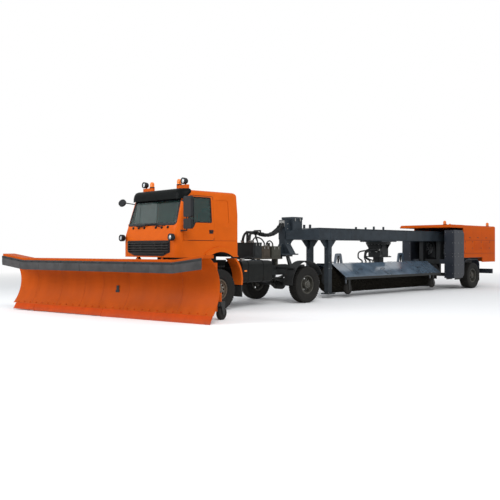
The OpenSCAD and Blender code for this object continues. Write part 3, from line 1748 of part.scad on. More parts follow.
// columns: lower and upper edge of each pressed belt
belts = [[2010, 2230], [1460, 1550]];
module engine_hood() {
  color(orange)
    at_tail()
      difference() {
        union() {
          front_plate([-hood_behind, hood_front])
            polygon(rounded([[-unit_half, hood_low, 0], [unit_half, hood_low, 0],
                             [unit_half, unit_top, hood_round], [-unit_half, unit_top, hood_round]]));
          block([-hood_behind, hood_tail], [-unit_half, unit_half], [tail_low, hood_low + over]);
          side_plate([-unit_half, unit_half])
            polygon(rounded([[hood_front - over, unit_top - roof_t, 0],
                             [roof_ahead, unit_top - roof_t, hood_t / 2],
                             [roof_ahead - roof_t, unit_top, hood_t], [hood_front - over, unit_top, 0]]));
          both_sides()
            for (b = belts)
              block([-hood_behind + rail_w, hood_front - rail_w], [unit_half - over, unit_half + belt_t], b);
        }
        block([-hood_behind + hood_t, hood_front + over], [-unit_half + hood_t, unit_half - hood_t],
              [tail_low - over, unit_top - hood_t]);
      }
}
duct_in = 780;
duct_out = 1200;
duct_low = 460;
duct_high = 2400;
duct_bevel = 130;
duct_gap = 30;
duct_rear = hood_front + duct_gap;
slot_h = 90;
shell_half = trailer_tyre_r + duct_bevel;
shell_top = lower_rail_top - rail_web * 4;
shell_low = 620;
shell_round = 250;
tail_bumper_in = 120;
tail_bumper_x = tail_bumper_in - hood_behind;
tail_bumper_z = [560, 760];
module rear_panels() {
  color(black)
    at_tail() {
      both_sides() {
        // air duct with a slot to the ground
        difference() {
          side_plate([duct_in, duct_out])
            polygon([[duct_rear, duct_low + duct_bevel], [duct_rear + duct_bevel, duct_low],
                     [duct_ahead, duct_low],
                     [duct_ahead, duct_high], [duct_rear + duct_bevel, duct_high],
                     [duct_rear, duct_high - duct_bevel]]);
          block([duct_rear + duct_bevel * 2, duct_ahead - duct_bevel], [duct_in + hood_t, duct_out - hood_t],
                [duct_low - over, duct_low + slot_h]);
        }
        block([duct_rear + duct_bevel, duct_ahead - duct_bevel], [beam_out, duct_in + over],
              [lower_rail_low, lower_rail_top - base_t]);
        // mudguard and its stay
        side_plate([trailer_track_y - trailer_tyre_w / 2, unit_half])
          difference() {
            shell_outline(0);
            shell_outline(guard_t);
          }
        block([-rail_w, rail_w], [beam_out, trailer_track_y],
              [shell_top - over, lower_rail_top - over - run]);
        // arms of the rear bumper
        block([tail_bumper_x - over, tail_bumper_x + rail_h], [beam_in, beam_out],
              [tail_bumper_z[0], lower_rail_low - run]);
      }
      block([tail_bumper_x - rail_w, tail_bumper_x], [-unit_half + rail_w, unit_half - rail_w],
            tail_bumper_z);
    }
}
module shell_outline(inset) {
  half = shell_half - inset;
  polygon(rounded([[-half, shell_low - inset, 0], [half, shell_low - inset, 0],
                   [half, shell_top - inset, shell_round - inset],
                   [-half, shell_top - inset, shell_round - inset]]));
}
power_x = [-1650, 250];
power_half = 480;
power_high = 2250;
fan_r = 370;
fan_y = 390;
fan_x = [500, 900];
fan_z = 1655;
intake_r = 270;
module power_unit() {
  color(black)
    at_tail() {
      block(power_x, [-power_half, power_half], [hood_low + run, power_high]);
      both_sides() {
        difference() {
          union() {
            rod_x(fan_r, fan_x, fan_y, fan_z);
            block(fan_x, [fan_y - fan_r, fan_y + fan_r], [hood_low + run, fan_z]);
          }
          rod_x(intake_r, [fan_x[1] - rail_w, fan_x[1] + over], fan_y, fan_z);
        }
        rod_x(shaft_r * 2, [power_x[1] - over, fan_x[0] + over], fan_y, fan_z);
        // outlet box from the fan to the side duct
        block([duct_rear, fan_x[1] - rail_web], [fan_y, duct_in - run], [hood_low + rail_w, fan_z - rail_w]);
      }
    }
}
tail_lamp_y = [860, 1060];
tail_lamp_t = 40;
// columns: station from the trailer axle, offset from the centre line
lamp_seats = [[1400, 700], [-1900, 900], [-1900, -900]];
module trailer_lamps() {
  color(orange)
    at_tail() {
      both_sides()
        block([tail_bumper_x - rail_w - tail_lamp_t, tail_bumper_x - rail_w], tail_lamp_y,
              [tail_bumper_z[0] + rail_web, tail_bumper_z[1] - rail_web]);
      for (s = lamp_seats)
        translate([s[0], s[1], unit_top + run])
          beacon_form();
    }
}

// brush: turntable, carriage, hood and rotor, drawn from the slew axis
table_r = 460;
table_low = 1330;
table_high = beam_low - base_t - ring_t;
socket_half = 265;
socket_t = 30;
mast_half = 139;
mast_rise = 400;
module brush_turntable() {
  color(black)
    at_brush()
      difference() {
        union() {
          rod_z(table_r, 0, 0, [table_high, beam_low - base_t - run]);
          rod_z(spindle_r - run, 0, 0, [table_high, beam_low - over]);
          block([-socket_half, socket_half], [-socket_half, socket_half], [table_low, table_high + over]);
          block([-socket_half - rail_w, socket_half + rail_w], [-socket_half - rail_w, socket_half + rail_w],
                [table_low, table_low + base_t]);
        }
        block([-mast_half - run, mast_half + run], [-mast_half - run, mast_half + run],
              [table_low - over, table_high - socket_t]);
      }
}
// hood outline in y and z from the brush axis, as shares of the brush radius
shroud_shares = [[-1.407, 0.286], [-1.407, 0.967], [-0.923, 1.264], [0.505, 1.264], [1.89, 0.264],
                 [1.89, 0.11]];
shroud = [for (s = shroud_shares) [s[0] * brush_r, brush_z + s[1] * brush_r]];
shroud_t = 12;
hood_z = shroud[2][1];
carrier_low = 1040;
carrier_high = hood_z - shroud_t - run;
carrier_half = 90;
end_t = 40;
end_gap = 20;
end_x = brush_len / 2 + end_gap;
shaft_end_r = 40;
module brush_carriage() {
  color(black)
    at_brush()
      difference() {
        union() {
          block([-mast_half, mast_half], [-mast_half, mast_half], [carrier_low, table_low + mast_rise]);
          block([-end_x - end_t, end_x + end_t], [-carrier_half, carrier_half], [carrier_low, carrier_high]);
          // end plates carrying the rotor shaft
          for (x = [-end_x - end_t, end_x])
            front_plate([x, x + end_t]) {
              polygon([[-carrier_half * 2, brush_z], [carrier_half * 2, brush_z],
                       [carrier_half, carrier_high], [-carrier_half, carrier_high]]);
              translate([0, brush_z])
                circle(r = carrier_half * 2);
            }
        }
        for (x = [-end_x - end_t, end_x])
          rod_x(shaft_end_r + run, [x - over, x + end_t + over], 0, brush_z);
      }
}
roller_x = [2850, -2550];
roller_y = 750;
roller_r = 180;
roller_w = 120;
roller_z = roller_r + brush_z - brush_r;
roller_half = roller_w / 2 + wheel_gap;
tower_x = 2000;
tower_y = -330;
tower_t = 60;
tower_h = 340;
tower_half = 225;
tower_round = 90;
tower_bar = 80;
module tower_outline(inset) {
  polygon(rounded([[-tower_half + inset, -over, 0], [tower_half - inset, -over, 0],
                   [tower_half * 2 / 3 - inset, tower_h - inset, tower_round - inset / 2],
                   [-tower_half * 2 / 3 + inset, tower_h - inset, tower_round - inset / 2]]));
}
module brush_hood() {
  color(grey)
    at_brush()
      difference() {
        union() {
          front_plate([-end_x + run, end_x - run])
            polygon([shroud[0], shroud[1], shroud[2], shroud[3], shroud[4], shroud[5],
                     shroud[5] - [shroud_t, 0], shroud[4] - [shroud_t, shroud_t / 2],
                     shroud[3] - [shroud_t / 2, shroud_t],
                     shroud[2] - [-shroud_t / 2, shroud_t], shroud[1] - [-shroud_t, shroud_t / 2],
                     shroud[0] + [shroud_t, 0]]);
          // towers over the lift springs
          for (x = [-tower_x, tower_x])
            translate([x, 0, hood_z])
              side_plate([tower_y - tower_t / 2, tower_y + tower_t / 2])
                difference() {
                  tower_outline(0);
                  tower_outline(tower_bar);
                }
          for (x = roller_x)
            roller_fork(x);
        }
        block([-mast_half - run, mast_half + run], [-mast_half - run, mast_half + run],
              [carrier_low, table_low]);
      }
}
// fixed fork of a support wheel, cut off at the hood's slope
module roller_fork(x) {
  intersection() {
    union() {
      for (y = [roller_y - roller_half - fork_t, roller_y + roller_half])
        side_plate([y, y + fork_t])
          polygon([[x - rail_w, hood_z], [x + rail_w, hood_z],
                   [x + caster_axle_r * 2, roller_z - caster_axle_r * 2],
                   [x - caster_axle_r * 2, roller_z - caster_axle_r * 2]]);
      rod_y(caster_axle_r, x, [roller_y - roller_half - fork_t, roller_y + roller_half + fork_t], roller_z);
    }
    front_plate([-end_x, end_x])
      polygon([[0, 0], [0, hood_z], shroud[3], shroud[4], [shroud[4][0], 0]]);
  }
}
module brush_wheel(x) {
  color(rubber)
    at_brush()
      translate([x + fork_trail, roller_y, roller_z - roller_r])
        caster_wheel_form(roller_r, roller_w);
}
module brush_wheel_front() {
  brush_wheel(roller_x[0]);
}
module brush_wheel_rear() {
  brush_wheel(roller_x[1]);
}
core_r = 150;
ring_count = 30;
ring_gap = 12;
module brush_rotor() {
  pitch = brush_len / ring_count;
  color(rubber)
    at_brush()
      rotate([0, 90, 0])
        translate([-brush_z, 0, 0])
          rotate_extrude($fn = 64)
            polygon(concat(
              [[0, -end_x - end_t], [shaft_end_r, -end_x - end_t], [shaft_end_r, -brush_len / 2]],
              [for (i = [0:ring_count - 1]) let (a = -brush_len / 2 + pitch * i)
                 each [[core_r, a], [brush_r, a + ring_gap / 2], [brush_r, a + pitch - ring_gap / 2],
                       [core_r, a + pitch]]],
              [[shaft_end_r, brush_len / 2], [shaft_end_r, end_x + end_t], [0, end_x + end_t]]));
}

// two hydraulic hoses that hang from the mast arm to the column
hose_r = 50;
hose_y = 60;
hose_arc_r = 900;
hose_down = 120;
hose_from = [mast_x - arm_reach - manifold_t - run, mast_top - mast_r];
hose_to = [kingpin_x + column_x[1] + run, column_top - hose_down];
hose_chord = norm(hose_to - hose_from);
hose_dir = atan2(hose_to[1] - hose_from[1], hose_to[0] - hose_from[0]);
hose_half = asin(hose_chord / 2 / hose_arc_r);
hose_rise = sqrt(hose_arc_r * hose_arc_r - hose_chord * hose_chord / 4);
hose_centre = (hose_from + hose_to) / 2 + hose_rise * [cos(hose_dir - 90), sin(hose_dir - 90)];
// the arc runs past both ends by this angle and is cut flat there
hose_extra = 8;
module umbilical_hoses() {
  color(rubber)
    at_axle()
      both_sides()
        intersection() {
          translate([hose_centre[0], hose_y, hose_centre[1]])
            rotate([90, hose_half + hose_extra - hose_dir - 90, 0])
              rotate_extrude(angle = (hose_half + hose_extra) * 2, $fn = 96)
                translate([hose_arc_r, 0])
                  circle(r = hose_r, $fn = 24);
          block([hose_to[0], hose_from[0]], [0, cab_half], [rail_top, box_high]);
        }
}

chassis_frame();
engine_block();
axles();
side_tanks();
rear_mudguards();
fifth_wheel();
deck_equipment();
bumper();
front_fenders();
cab_shell();
grille();
windscreen();
cab_interior();
seats();
sun_visor();
mirrors();
cab_lamps();
door_left();
door_left_glass();
door_right();
door_right_glass();
knuckle_left();
knuckle_right();
tyre_front_left();
tyre_front_right();
rim_front_left();
rim_front_right();
tyre_rear_left();
tyre_rear_right();
rim_rear_left();
rim_rear_right();
push_frame();
lift_barrel();
lift_rod();
swing_barrel();
swing_rod();
moldboard();
cutting_edge();
snow_flap();
plow_fork_left();
plow_fork_right();
plow_wheel_left();
plow_wheel_right();
trailer_frame();
trailer_axle();
trailer_tyre_left();
trailer_tyre_right();
trailer_rim_left();
trailer_rim_right();
engine_hood();
rear_panels();
power_unit();
trailer_lamps();
brush_turntable();
brush_carriage();
brush_hood();
brush_rotor();
brush_wheel_front();
brush_wheel_rear();
umbilical_hoses();
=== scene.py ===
import bpy
import bmesh
import json
import math
import random
from mathutils import Matrix, Vector


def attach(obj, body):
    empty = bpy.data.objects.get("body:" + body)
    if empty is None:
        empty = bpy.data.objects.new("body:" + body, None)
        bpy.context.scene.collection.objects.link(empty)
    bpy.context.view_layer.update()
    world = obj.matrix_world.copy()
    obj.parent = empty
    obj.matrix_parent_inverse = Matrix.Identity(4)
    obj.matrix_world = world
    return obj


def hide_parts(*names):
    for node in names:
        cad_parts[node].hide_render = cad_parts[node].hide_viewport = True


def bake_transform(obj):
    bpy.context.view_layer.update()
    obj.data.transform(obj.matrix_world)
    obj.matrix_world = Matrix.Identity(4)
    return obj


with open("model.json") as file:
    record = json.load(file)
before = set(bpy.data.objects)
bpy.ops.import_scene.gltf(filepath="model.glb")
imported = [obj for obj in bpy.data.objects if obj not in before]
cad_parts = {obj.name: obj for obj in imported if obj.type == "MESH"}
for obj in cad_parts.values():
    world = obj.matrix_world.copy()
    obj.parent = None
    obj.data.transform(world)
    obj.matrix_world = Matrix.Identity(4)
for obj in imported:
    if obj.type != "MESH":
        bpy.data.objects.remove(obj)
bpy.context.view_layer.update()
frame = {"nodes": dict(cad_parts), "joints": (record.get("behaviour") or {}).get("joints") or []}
nodes = frame["nodes"]
joints = {j["name"]: j for j in frame["joints"]}


# A joint's place at rest, in metres.
def jointAt(name):
    return Vector(joints[name]["pos_m"])


# Local frames, all with y from the vehicle's centre line and z from the ground.
frontX = jointAt("steer_left").x
kingpinX = jointAt("trailer_yaw").x
rowY = jointAt("trailer_yaw").y
tailX = jointAt("spin_trailer_left").x
brushX = jointAt("brush_slew").x
rollerAxis = joints["plow_roller_left_spin"]["axis"]
bladeTurn = math.atan2(-rollerAxis[0], rollerAxis[1])
bladeShift = 0.08  # middle of the blade, to the left of its pivot
atAxle = Matrix.Translation((frontX, rowY, 0))
atKingpin = Matrix.Translation((kingpinX, rowY, 0))
atTail = Matrix.Translation((tailX, rowY, 0))
atBrush = Matrix.Translation((brushX, rowY, 0))
atPivot = Matrix.Translation((jointAt("plow_swing").x, rowY, 0))
atBlade = atPivot @ Matrix.Rotation(bladeTurn, 4, "Z") @ Matrix.Translation((0, bladeShift, 0))
sides = (1, -1)


# A range of y on the left, or its mirror on the right.
def span(s, a, b):
    return sorted((s * a, s * b))


# Shader helpers.
def link(tree, fromNode, fromName, toNode, toName):
    tree.links.new(fromNode.outputs[fromName], toNode.inputs[toName])


def addNode(tree, kind, values=None):
    node = tree.nodes.new("ShaderNode" + kind)
    for name, value in (values or {}).items():
        node.inputs[name].default_value = value
    return node


def addMath(tree, operation, a, b, clamp=False):
    node = addNode(tree, "Math")
    node.operation = operation
    node.use_clamp = clamp
    tree.links.new(a, node.inputs[0])
    tree.links.new(b, node.inputs[1])
    return node.outputs["Value"]


def mixOver(tree, base, share, color):
    mix = addNode(tree, "MixRGB", {"Color2": list(color) + [1]})
    tree.links.new(share, mix.inputs["Fac"])
    tree.links.new(base, mix.inputs["Color1"])
    return mix.outputs["Color"]


# A finish made from noise in object space, in metres: patches of tone, chips, dirt low down and a fine grain.
def makeMaterial(name, color, rough=0.5, metal=0.0, coat=0.0, vary=0.12, grain=6.0, stretch=(1, 1, 1),
                 bump=0.15, bumpScale=90.0, depth=0.002, roughVary=0.12, dirt=0.0, dirtTop=1.2,
                 dirtColor=(0.13, 0.115, 0.095), wear=0.0, wearColor=(0.3, 0.29, 0.28), alpha=1.0,
                 glow=0.0, spec=0.18):
    mat = bpy.data.materials.new(name)
    mat.use_nodes = True
    tree = mat.node_tree
    shader = tree.nodes["Principled BSDF"]
    for socket, value in (("Metallic", metal), ("Specular IOR Level", spec), ("Coat Weight", coat),
                          ("Coat Roughness", 0.12), ("Alpha", alpha)):
        shader.inputs[socket].default_value = value
    place = addNode(tree, "TexCoord")
    shift = addNode(tree, "Mapping", {"Scale": stretch})
    link(tree, place, "Object", shift, "Vector")
    patch = addNode(tree, "TexNoise", {"Scale": grain, "Detail": 6.0})
    link(tree, shift, "Vector", patch, "Vector")
    tint = addNode(tree, "ValToRGB")
    for i, (at, tone) in enumerate(((0.3, 1 - vary), (0.7, 1 + vary))):
        tint.color_ramp.elements[i].position = at
        tint.color_ramp.elements[i].color = [min(1, c * tone) for c in color] + [1]
    link(tree, patch, "Fac", tint, "Fac")
    last = tint.outputs["Color"]
    if wear > 0:
        scratch = addNode(tree, "TexNoise", {"Scale": 34.0, "Detail": 8.0})
        link(tree, shift, "Vector", scratch, "Vector")
        chips = addNode(tree, "MapRange", {"From Min": 0.62, "From Max": 0.72, "To Max": wear})
        link(tree, scratch, "Fac", chips, "Value")
        last = mixOver(tree, last, chips.outputs["Result"], wearColor)
    if dirt > 0:
        split = addNode(tree, "SeparateXYZ")
        link(tree, place, "Object", split, "Vector")
        low = addNode(tree, "MapRange", {"From Min": dirtTop, "From Max": 0.0, "To Max": dirt})
        link(tree, split, "Z", low, "Value")
        splash = addNode(tree, "TexNoise", {"Scale": 11.0, "Detail": 9.0})
        link(tree, place, "Object", splash, "Vector")
        amount = addMath(tree, "MULTIPLY", low.outputs["Result"], splash.outputs["Fac"])
        last = mixOver(tree, last, amount, dirtColor)
    tree.links.new(last, shader.inputs["Base Color"])
    if glow > 0:
        shader.inputs["Emission Color"].default_value = list(color) + [1]
        shader.inputs["Emission Strength"].default_value = glow
    sheen = addNode(tree, "MapRange", {"To Min": max(0.02, rough - roughVary),
                                       "To Max": min(1.0, rough + roughVary)})
    link(tree, patch, "Fac", sheen, "Value")
    link(tree, sheen, "Result", shader, "Roughness")
    fine = addNode(tree, "TexNoise", {"Scale": bumpScale, "Detail": 4.0})
    link(tree, shift, "Vector", fine, "Vector")
    relief = addNode(tree, "Bump", {"Strength": bump, "Distance": depth})
    link(tree, fine, "Fac", relief, "Height")
    link(tree, relief, "Normal", shader, "Normal")
    return mat


# Finishes, by the names that the pieces below use.
paint = {
    "orange": makeMaterial("orangePaint", (0.57, 0.098, 0.006), 0.36, coat=0.015, spec=0.05, vary=0.06,
                           grain=2.2, bump=0.05, bumpScale=160, dirt=0.14, dirtTop=1.5),
    "hoodOrange": makeMaterial("hoodOrangePaint", (0.53, 0.080, 0.004), 0.44, coat=0.0, spec=0.03, vary=0.07,
                               grain=1.6, bump=0.06, bumpScale=12, depth=0.004),
    "blade": makeMaterial("bladePaint", (0.42, 0.066, 0.004), 0.46, spec=0.03, vary=0.10, grain=3.0,
                          stretch=(1, 1, 0.25), bump=0.08, bumpScale=70, dirt=0.14, dirtTop=0.9, wear=0.10,
                          wearColor=(0.42, 0.08, 0.02)),
    "edge": makeMaterial("edgePaint", (0.42, 0.050, 0.005), 0.5, spec=0.03, vary=0.10, grain=5,
                         stretch=(1, 1, 0.3), bump=0.12, bumpScale=60, wear=0.10,
                         wearColor=(0.33, 0.14, 0.08), dirt=0.35, dirtTop=0.12),
    # Dark joints, and painted shade in the cab side's recess and groove and under the engine hood's belts.
    "seam": makeMaterial("seamShade", (0.30, 0.045, 0.006), 0.6, vary=0.15, grain=9, bump=0.1),
    "frame": makeMaterial("framePaint", (0.024, 0.032, 0.040), 0.42, coat=0.02, spec=0.12, vary=0.22, grain=4,
                          bump=0.08, dirt=0.25, dirtTop=1.4),
    "hood": makeMaterial("hoodPaint", (0.090, 0.128, 0.172), 0.16, coat=0.6, vary=0.35, grain=2.4, bump=0.06,
                         bumpScale=9, depth=0.006, roughVary=0.06, spec=0.5),
    "black": makeMaterial("blackSteel", (0.014, 0.016, 0.017), 0.5, vary=0.25, grain=7, bump=0.12, dirt=0.22,
                          dirtTop=1.3, wear=0.06),
    "duct": makeMaterial("ductPaint", (0.021, 0.025, 0.034), 0.36, coat=0.08, vary=0.15, grain=4, bump=0.06,
                         dirt=0.16, dirtTop=1.0),
    "olive": makeMaterial("oliveBox", (0.050, 0.050, 0.040), 0.55, vary=0.2, grain=6, bump=0.1, dirt=0.2,
                          dirtTop=2.0),
    "brown": makeMaterial("brownBox", (0.055, 0.044, 0.033), 0.6, vary=0.2, grain=6, bump=0.1),
    "tyre": makeMaterial("tyreRubber", (0.010, 0.010, 0.0095), 0.82, vary=0.3, grain=14, bump=0.25,
                         bumpScale=120, dirt=0.30, dirtTop=1.3, dirtColor=(0.055, 0.047, 0.037)),
    "rim": makeMaterial("rimPaint", (0.055, 0.054, 0.046), 0.55, vary=0.25, grain=12, bump=0.12, dirt=0.4,
                        dirtTop=1.2),
    "frontRim": makeMaterial("frontRimPaint", (0.105, 0.075, 0.052), 0.55, vary=0.3, grain=12, bump=0.12,
                             dirt=0.4, dirtTop=1.2),
    "rubber": makeMaterial("flapRubber", (0.042, 0.040, 0.040), 0.62, vary=0.4, grain=3.2, bump=0.3,
                           bumpScale=40, depth=0.003, wear=0.25, wearColor=(0.10, 0.10, 0.10)),
    "hose": makeMaterial("hoseRubber", (0.009, 0.010, 0.011), 0.5, vary=0.2, grain=20, bump=0.2),
    "plastic": makeMaterial("darkPlastic", (0.012, 0.013, 0.015), 0.48, vary=0.15, grain=9, bump=0.25,
                            bumpScale=320, depth=0.001),
    "visor": makeMaterial("visorPlastic", (0.005, 0.006, 0.006), 0.36, spec=0.03, vary=0.15, grain=5,
                          bump=0.06),
    "grille": makeMaterial("grillePlastic", (0.007, 0.007, 0.008), 0.45, vary=0.2, grain=9, bump=0.2,
                           bumpScale=200),
    "slat": makeMaterial("grilleSlat", (0.030, 0.028, 0.026), 0.32, coat=0.15, vary=0.2, grain=9, bump=0.1),
    "glass": makeMaterial("cabGlass", (0.016, 0.044, 0.039), 0.06, coat=0.2, vary=0.1, grain=2, bump=0.01,
                          bumpScale=4, roughVary=0.02, alpha=0.52, spec=0.4),
    "frit": makeMaterial("screenEdge", (0.008, 0.009, 0.010), 0.25, coat=0.2, vary=0.15, grain=20, bump=0.05),
    "seal": makeMaterial("sealRubber", (0.008, 0.008, 0.009), 0.65, vary=0.2, grain=20, bump=0.2),
    "lens": makeMaterial("lampLens", (0.50, 0.53, 0.54), 0.14, coat=0.8, vary=0.06, grain=30, bump=0.25,
                         bumpScale=55, depth=0.004, spec=0.5),
    "amber": makeMaterial("amberLens", (0.72, 0.17, 0.012), 0.2, coat=0.5, vary=0.08, grain=30, bump=0.25,
                          bumpScale=60, depth=0.004, glow=0.08),
    "red": makeMaterial("redLens", (0.5, 0.012, 0.01), 0.2, coat=0.5, vary=0.08, grain=30, bump=0.25,
                        bumpScale=60, depth=0.004, glow=0.05),
    "chrome": makeMaterial("pistonChrome", (0.62, 0.63, 0.64), 0.14, metal=1.0, vary=0.05, grain=20,
                           bump=0.02, roughVary=0.06, spec=0.5),
    "steel": makeMaterial("bareSteel", (0.26, 0.26, 0.25), 0.36, metal=0.9, vary=0.2, grain=16, bump=0.1,
                          spec=0.5),
    "mirror": makeMaterial("mirrorGlass", (0.72, 0.75, 0.77), 0.03, metal=1.0, vary=0.02, grain=3, bump=0.0,
                           roughVary=0.01, spec=0.5),
    "bristle": makeMaterial("bristleFibre", (0.014, 0.012, 0.008), 0.75, vary=0.5, grain=26, bump=0.3,
                            bumpScale=140, spec=0.1),
    "seat": makeMaterial("seatCloth", (0.05, 0.053, 0.06), 0.9, vary=0.25, grain=30, bump=0.5, bumpScale=700,
                         depth=0.001),
    "weld": makeMaterial("weldBead", (0.35, 0.053, 0.005), 0.5, spec=0.08, vary=0.3, grain=40, bump=0.4,
                         bumpScale=120, dirt=0.2, dirtTop=1.0),
    "tank": makeMaterial("tankPaint", (0.0085, 0.0098, 0.0098), 0.42, spec=0.07, vary=0.2, grain=4, bump=0.06,
                         dirt=0.22, dirtTop=1.4),
    "pale": makeMaterial("blankPlate", (0.50, 0.51, 0.50), 0.4, vary=0.08, grain=8, bump=0.05, dirt=0.2,
                         dirtTop=2.0),
    "fan": makeMaterial("fanAlloy", (0.24, 0.25, 0.26), 0.4, metal=0.8, vary=0.2, grain=14, bump=0.1,
                        spec=0.5),
}
print("materials made:", len(paint))

# What each CAD node is painted with.
nodePaint = {
    "orange": ["cab_shell", "door_left", "door_right", "bumper", "front_fenders", "push_frame", "cab_lamps"],
    "hoodOrange": ["engine_hood"], "blade": ["moldboard"], "edge": ["cutting_edge"], "rubber": ["snow_flap"],
    "black": ["chassis_frame", "engine_block", "axles", "rear_mudguards", "fifth_wheel", "knuckle_left",
              "knuckle_right", "lift_barrel", "swing_barrel", "plow_fork_left", "plow_fork_right",
              "trailer_axle", "power_unit", "brush_turntable", "brush_carriage"],
    "frame": ["trailer_frame"], "hood": ["brush_hood"], "duct": ["rear_panels"], "olive": ["deck_equipment"],
    "rim": ["rim_rear_left", "rim_rear_right", "trailer_rim_left", "trailer_rim_right"],
    "frontRim": ["rim_front_left", "rim_front_right"], "tank": ["side_tanks"], "hose": ["umbilical_hoses"],
    "tyre": ["tyre_front_left", "tyre_front_right", "tyre_rear_left", "tyre_rear_right",
             "trailer_tyre_left", "trailer_tyre_right", "plow_wheel_left", "plow_wheel_right",
             "brush_wheel_front", "brush_wheel_rear"],
    "glass": ["windscreen", "door_left_glass", "door_right_glass"], "red": ["trailer_lamps"],
    "plastic": ["cab_interior", "mirrors"], "visor": ["sun_visor"], "grille": ["grille"], "seat": ["seats"],
    "chrome": ["lift_rod", "swing_rod"], "bristle": ["brush_rotor"],
}
for key, names in nodePaint.items():
    for name in names:
        mesh = nodes[name].data
        mesh.materials.clear()
        mesh.materials.append(paint[key])


# A face of a CAD node takes another paint where the test of its middle, in the given local frame, says so.
def paintFaces(node, key, place, test):
    mesh = nodes[node].data
    local = place.inverted() @ nodes[node].matrix_world
    mesh.materials.append(paint[key])
    index = len(mesh.materials) - 1
    for face in mesh.polygons:
        if test(local @ face.center):
            face.material_index = index


# Mesh helpers: each adds a closed form to a bmesh.
def addPrism(bm, low, high, paintIndex=0):
    count = len(low)
    a = [bm.verts.new(p) for p in low]
    b = [bm.verts.new(p) for p in high]
    faces = [bm.faces.new(a[::-1]), bm.faces.new(b)]
    for i in range(count):
        faces.append(bm.faces.new((a[i], a[(i + 1) % count], b[(i + 1) % count], b[i])))
    for face in faces:
        face.material_index = paintIndex


def addBox(bm, x, y, z, paintIndex=0):
    ring = [(x[0], y[0]), (x[1], y[0]), (x[1], y[1]), (x[0], y[1])]
    addPrism(bm, [(*p, z[0]) for p in ring], [(*p, z[1]) for p in ring], paintIndex)


# A section of y and z, drawn out along x.
def addBarX(bm, section, x, paintIndex=0):
    addPrism(bm, [(x[0], *p) for p in section], [(x[1], *p) for p in section], paintIndex)


# Two axes across a direction.
def across(direction):
    d = Vector(direction).normalized()
    u = d.cross(Vector((0, 0, 1)) if abs(d.z) < 0.9 else Vector((0, 1, 0))).normalized()
    return u, d.cross(u).normalized()


# A profile of radius and height, turned about an axis.
def addLathe(bm, profile, origin, axis, steps=32, paintIndex=0):
    d = Vector(axis).normalized()
    u, v = across(d)
    o = Vector(origin)
    turns = [2 * math.pi * i / steps for i in range(steps)]
    rings = []
    for r, h in profile:
        if r <= 1e-6:
            rings.append([bm.verts.new(o + d * h)])
        else:
            rings.append([bm.verts.new(o + d * h + (u * math.cos(t) + v * math.sin(t)) * r) for t in turns])
    for a, b in zip(rings, rings[1:]):
        for i in range(steps):
            j = (i + 1) % steps
            if len(a) == 1 and len(b) == 1:
                continue
            if len(a) == 1:
                face = bm.faces.new((a[0], b[j], b[i]))
            elif len(b) == 1:
                face = bm.faces.new((a[i], a[j], b[0]))
            else:
                face = bm.faces.new((a[i], a[j], b[j], b[i]))
            face.material_index = paintIndex


def addRod(bm, start, end, radius, steps=12, paintIndex=0):
    d = Vector(end) - Vector(start)
    addLathe(bm, [(0, 0), (radius, 0), (radius, d.length), (0, d.length)], start, d, steps, paintIndex)


# A hexagon head on a round washer.
def addBolt(bm, at, axis, size, paintIndex=0):
    rim, foot = size * 1.25, size * 0.2
    addLathe(bm, [(0, 0), (rim, 0), (rim, foot), (0, foot)], at, axis, 12, paintIndex)
    head = [(0, foot), (size, foot), (size, size * 0.8), (size * 0.8, size), (0, size)]
    addLathe(bm, head, at, axis, 6, paintIndex)


# Smooth points through a short list of places.
def smoothPath(points, steps=8):
    p = [Vector(q) for q in points]
    p = [p[0] * 2 - p[1]] + p + [p[-1] * 2 - p[-2]]
    out = []
    for i in range(1, len(p) - 2):
        a, b, c, d = p[i - 1], p[i], p[i + 1], p[i + 2]
        for k in range(steps):
            t = k / steps
            square, cube = 2 * a - 5 * b + 4 * c - d, 3 * b - a - 3 * c + d
            out.append(0.5 * ((2 * b) + (c - a) * t + square * t * t + cube * t ** 3))
    out.append(p[-2])
    return out


# A round section swept along points.
def addSweep(bm, points, radius, steps=10, paintIndex=0):
    turns = [2 * math.pi * k / steps for k in range(steps)]
    rings = []
    u = None
    for i, q in enumerate(points):
        d = (points[min(i + 1, len(points) - 1)] - points[max(i - 1, 0)]).normalized()
        if u is None:
            u = across(d)[0]
        u = (u - d * u.dot(d)).normalized()
        v = d.cross(u)
        rings.append([bm.verts.new(q + (u * math.cos(t) + v * math.sin(t)) * radius) for t in turns])
    faces = [bm.faces.new(rings[0][::-1]), bm.faces.new(rings[-1])]
    for a, b in zip(rings, rings[1:]):
        for k in range(steps):
            faces.append(bm.faces.new((a[k], a[(k + 1) % steps], b[(k + 1) % steps], b[k])))
    for face in faces:
        face.material_index = paintIndex


# The bmesh becomes an object that rides on a body, or on none.
def makePiece(name, bm, keys, body, place=None, bevel=0.0, sharp=32.0, hides=()):
    if place is not None:
        bm.transform(place)
    bmesh.ops.recalc_face_normals(bm, faces=bm.faces)
    mesh = bpy.data.meshes.new(name)
    bm.to_mesh(mesh)
    bm.free()
    for key in keys:
        mesh.materials.append(paint[key])
    mesh.shade_smooth()
    mesh.set_sharp_from_angle(angle=math.radians(sharp))
    obj = bpy.data.objects.new(name, mesh)
    bpy.context.scene.collection.objects.link(obj)
    if bevel > 0:
        mod = obj.modifiers.new("bevel", "BEVEL")
        mod.width = bevel
        mod.segments = 2
        mod.limit_method = "ANGLE"
        mod.angle_limit = math.radians(40)
    if body is not None:
        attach(obj, body)
    if hides:
        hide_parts(*hides)
    return obj


# Wheels: tread blocks, side ribs, nuts and hub caps.
wheelLook = {"bead": 0.2857, "lugDepth": 0.017, "lugCount": 46, "lugShare": 0.62, "lugSlant": 0.2,
             "lugRoot": 0.012, "nutSize": 0.016, "nutRing": 0.158, "stud": 0.008, "capBolts": 8,
             "capRing": 0.096, "capBolt": 0.009,
             "cap": ((0.121, -0.012), (0.121, 0.0), (0.112, 0.008), (0.078, 0.010), (0.074, 0.030),
                     (0.062, 0.036), (0, 0.038))}
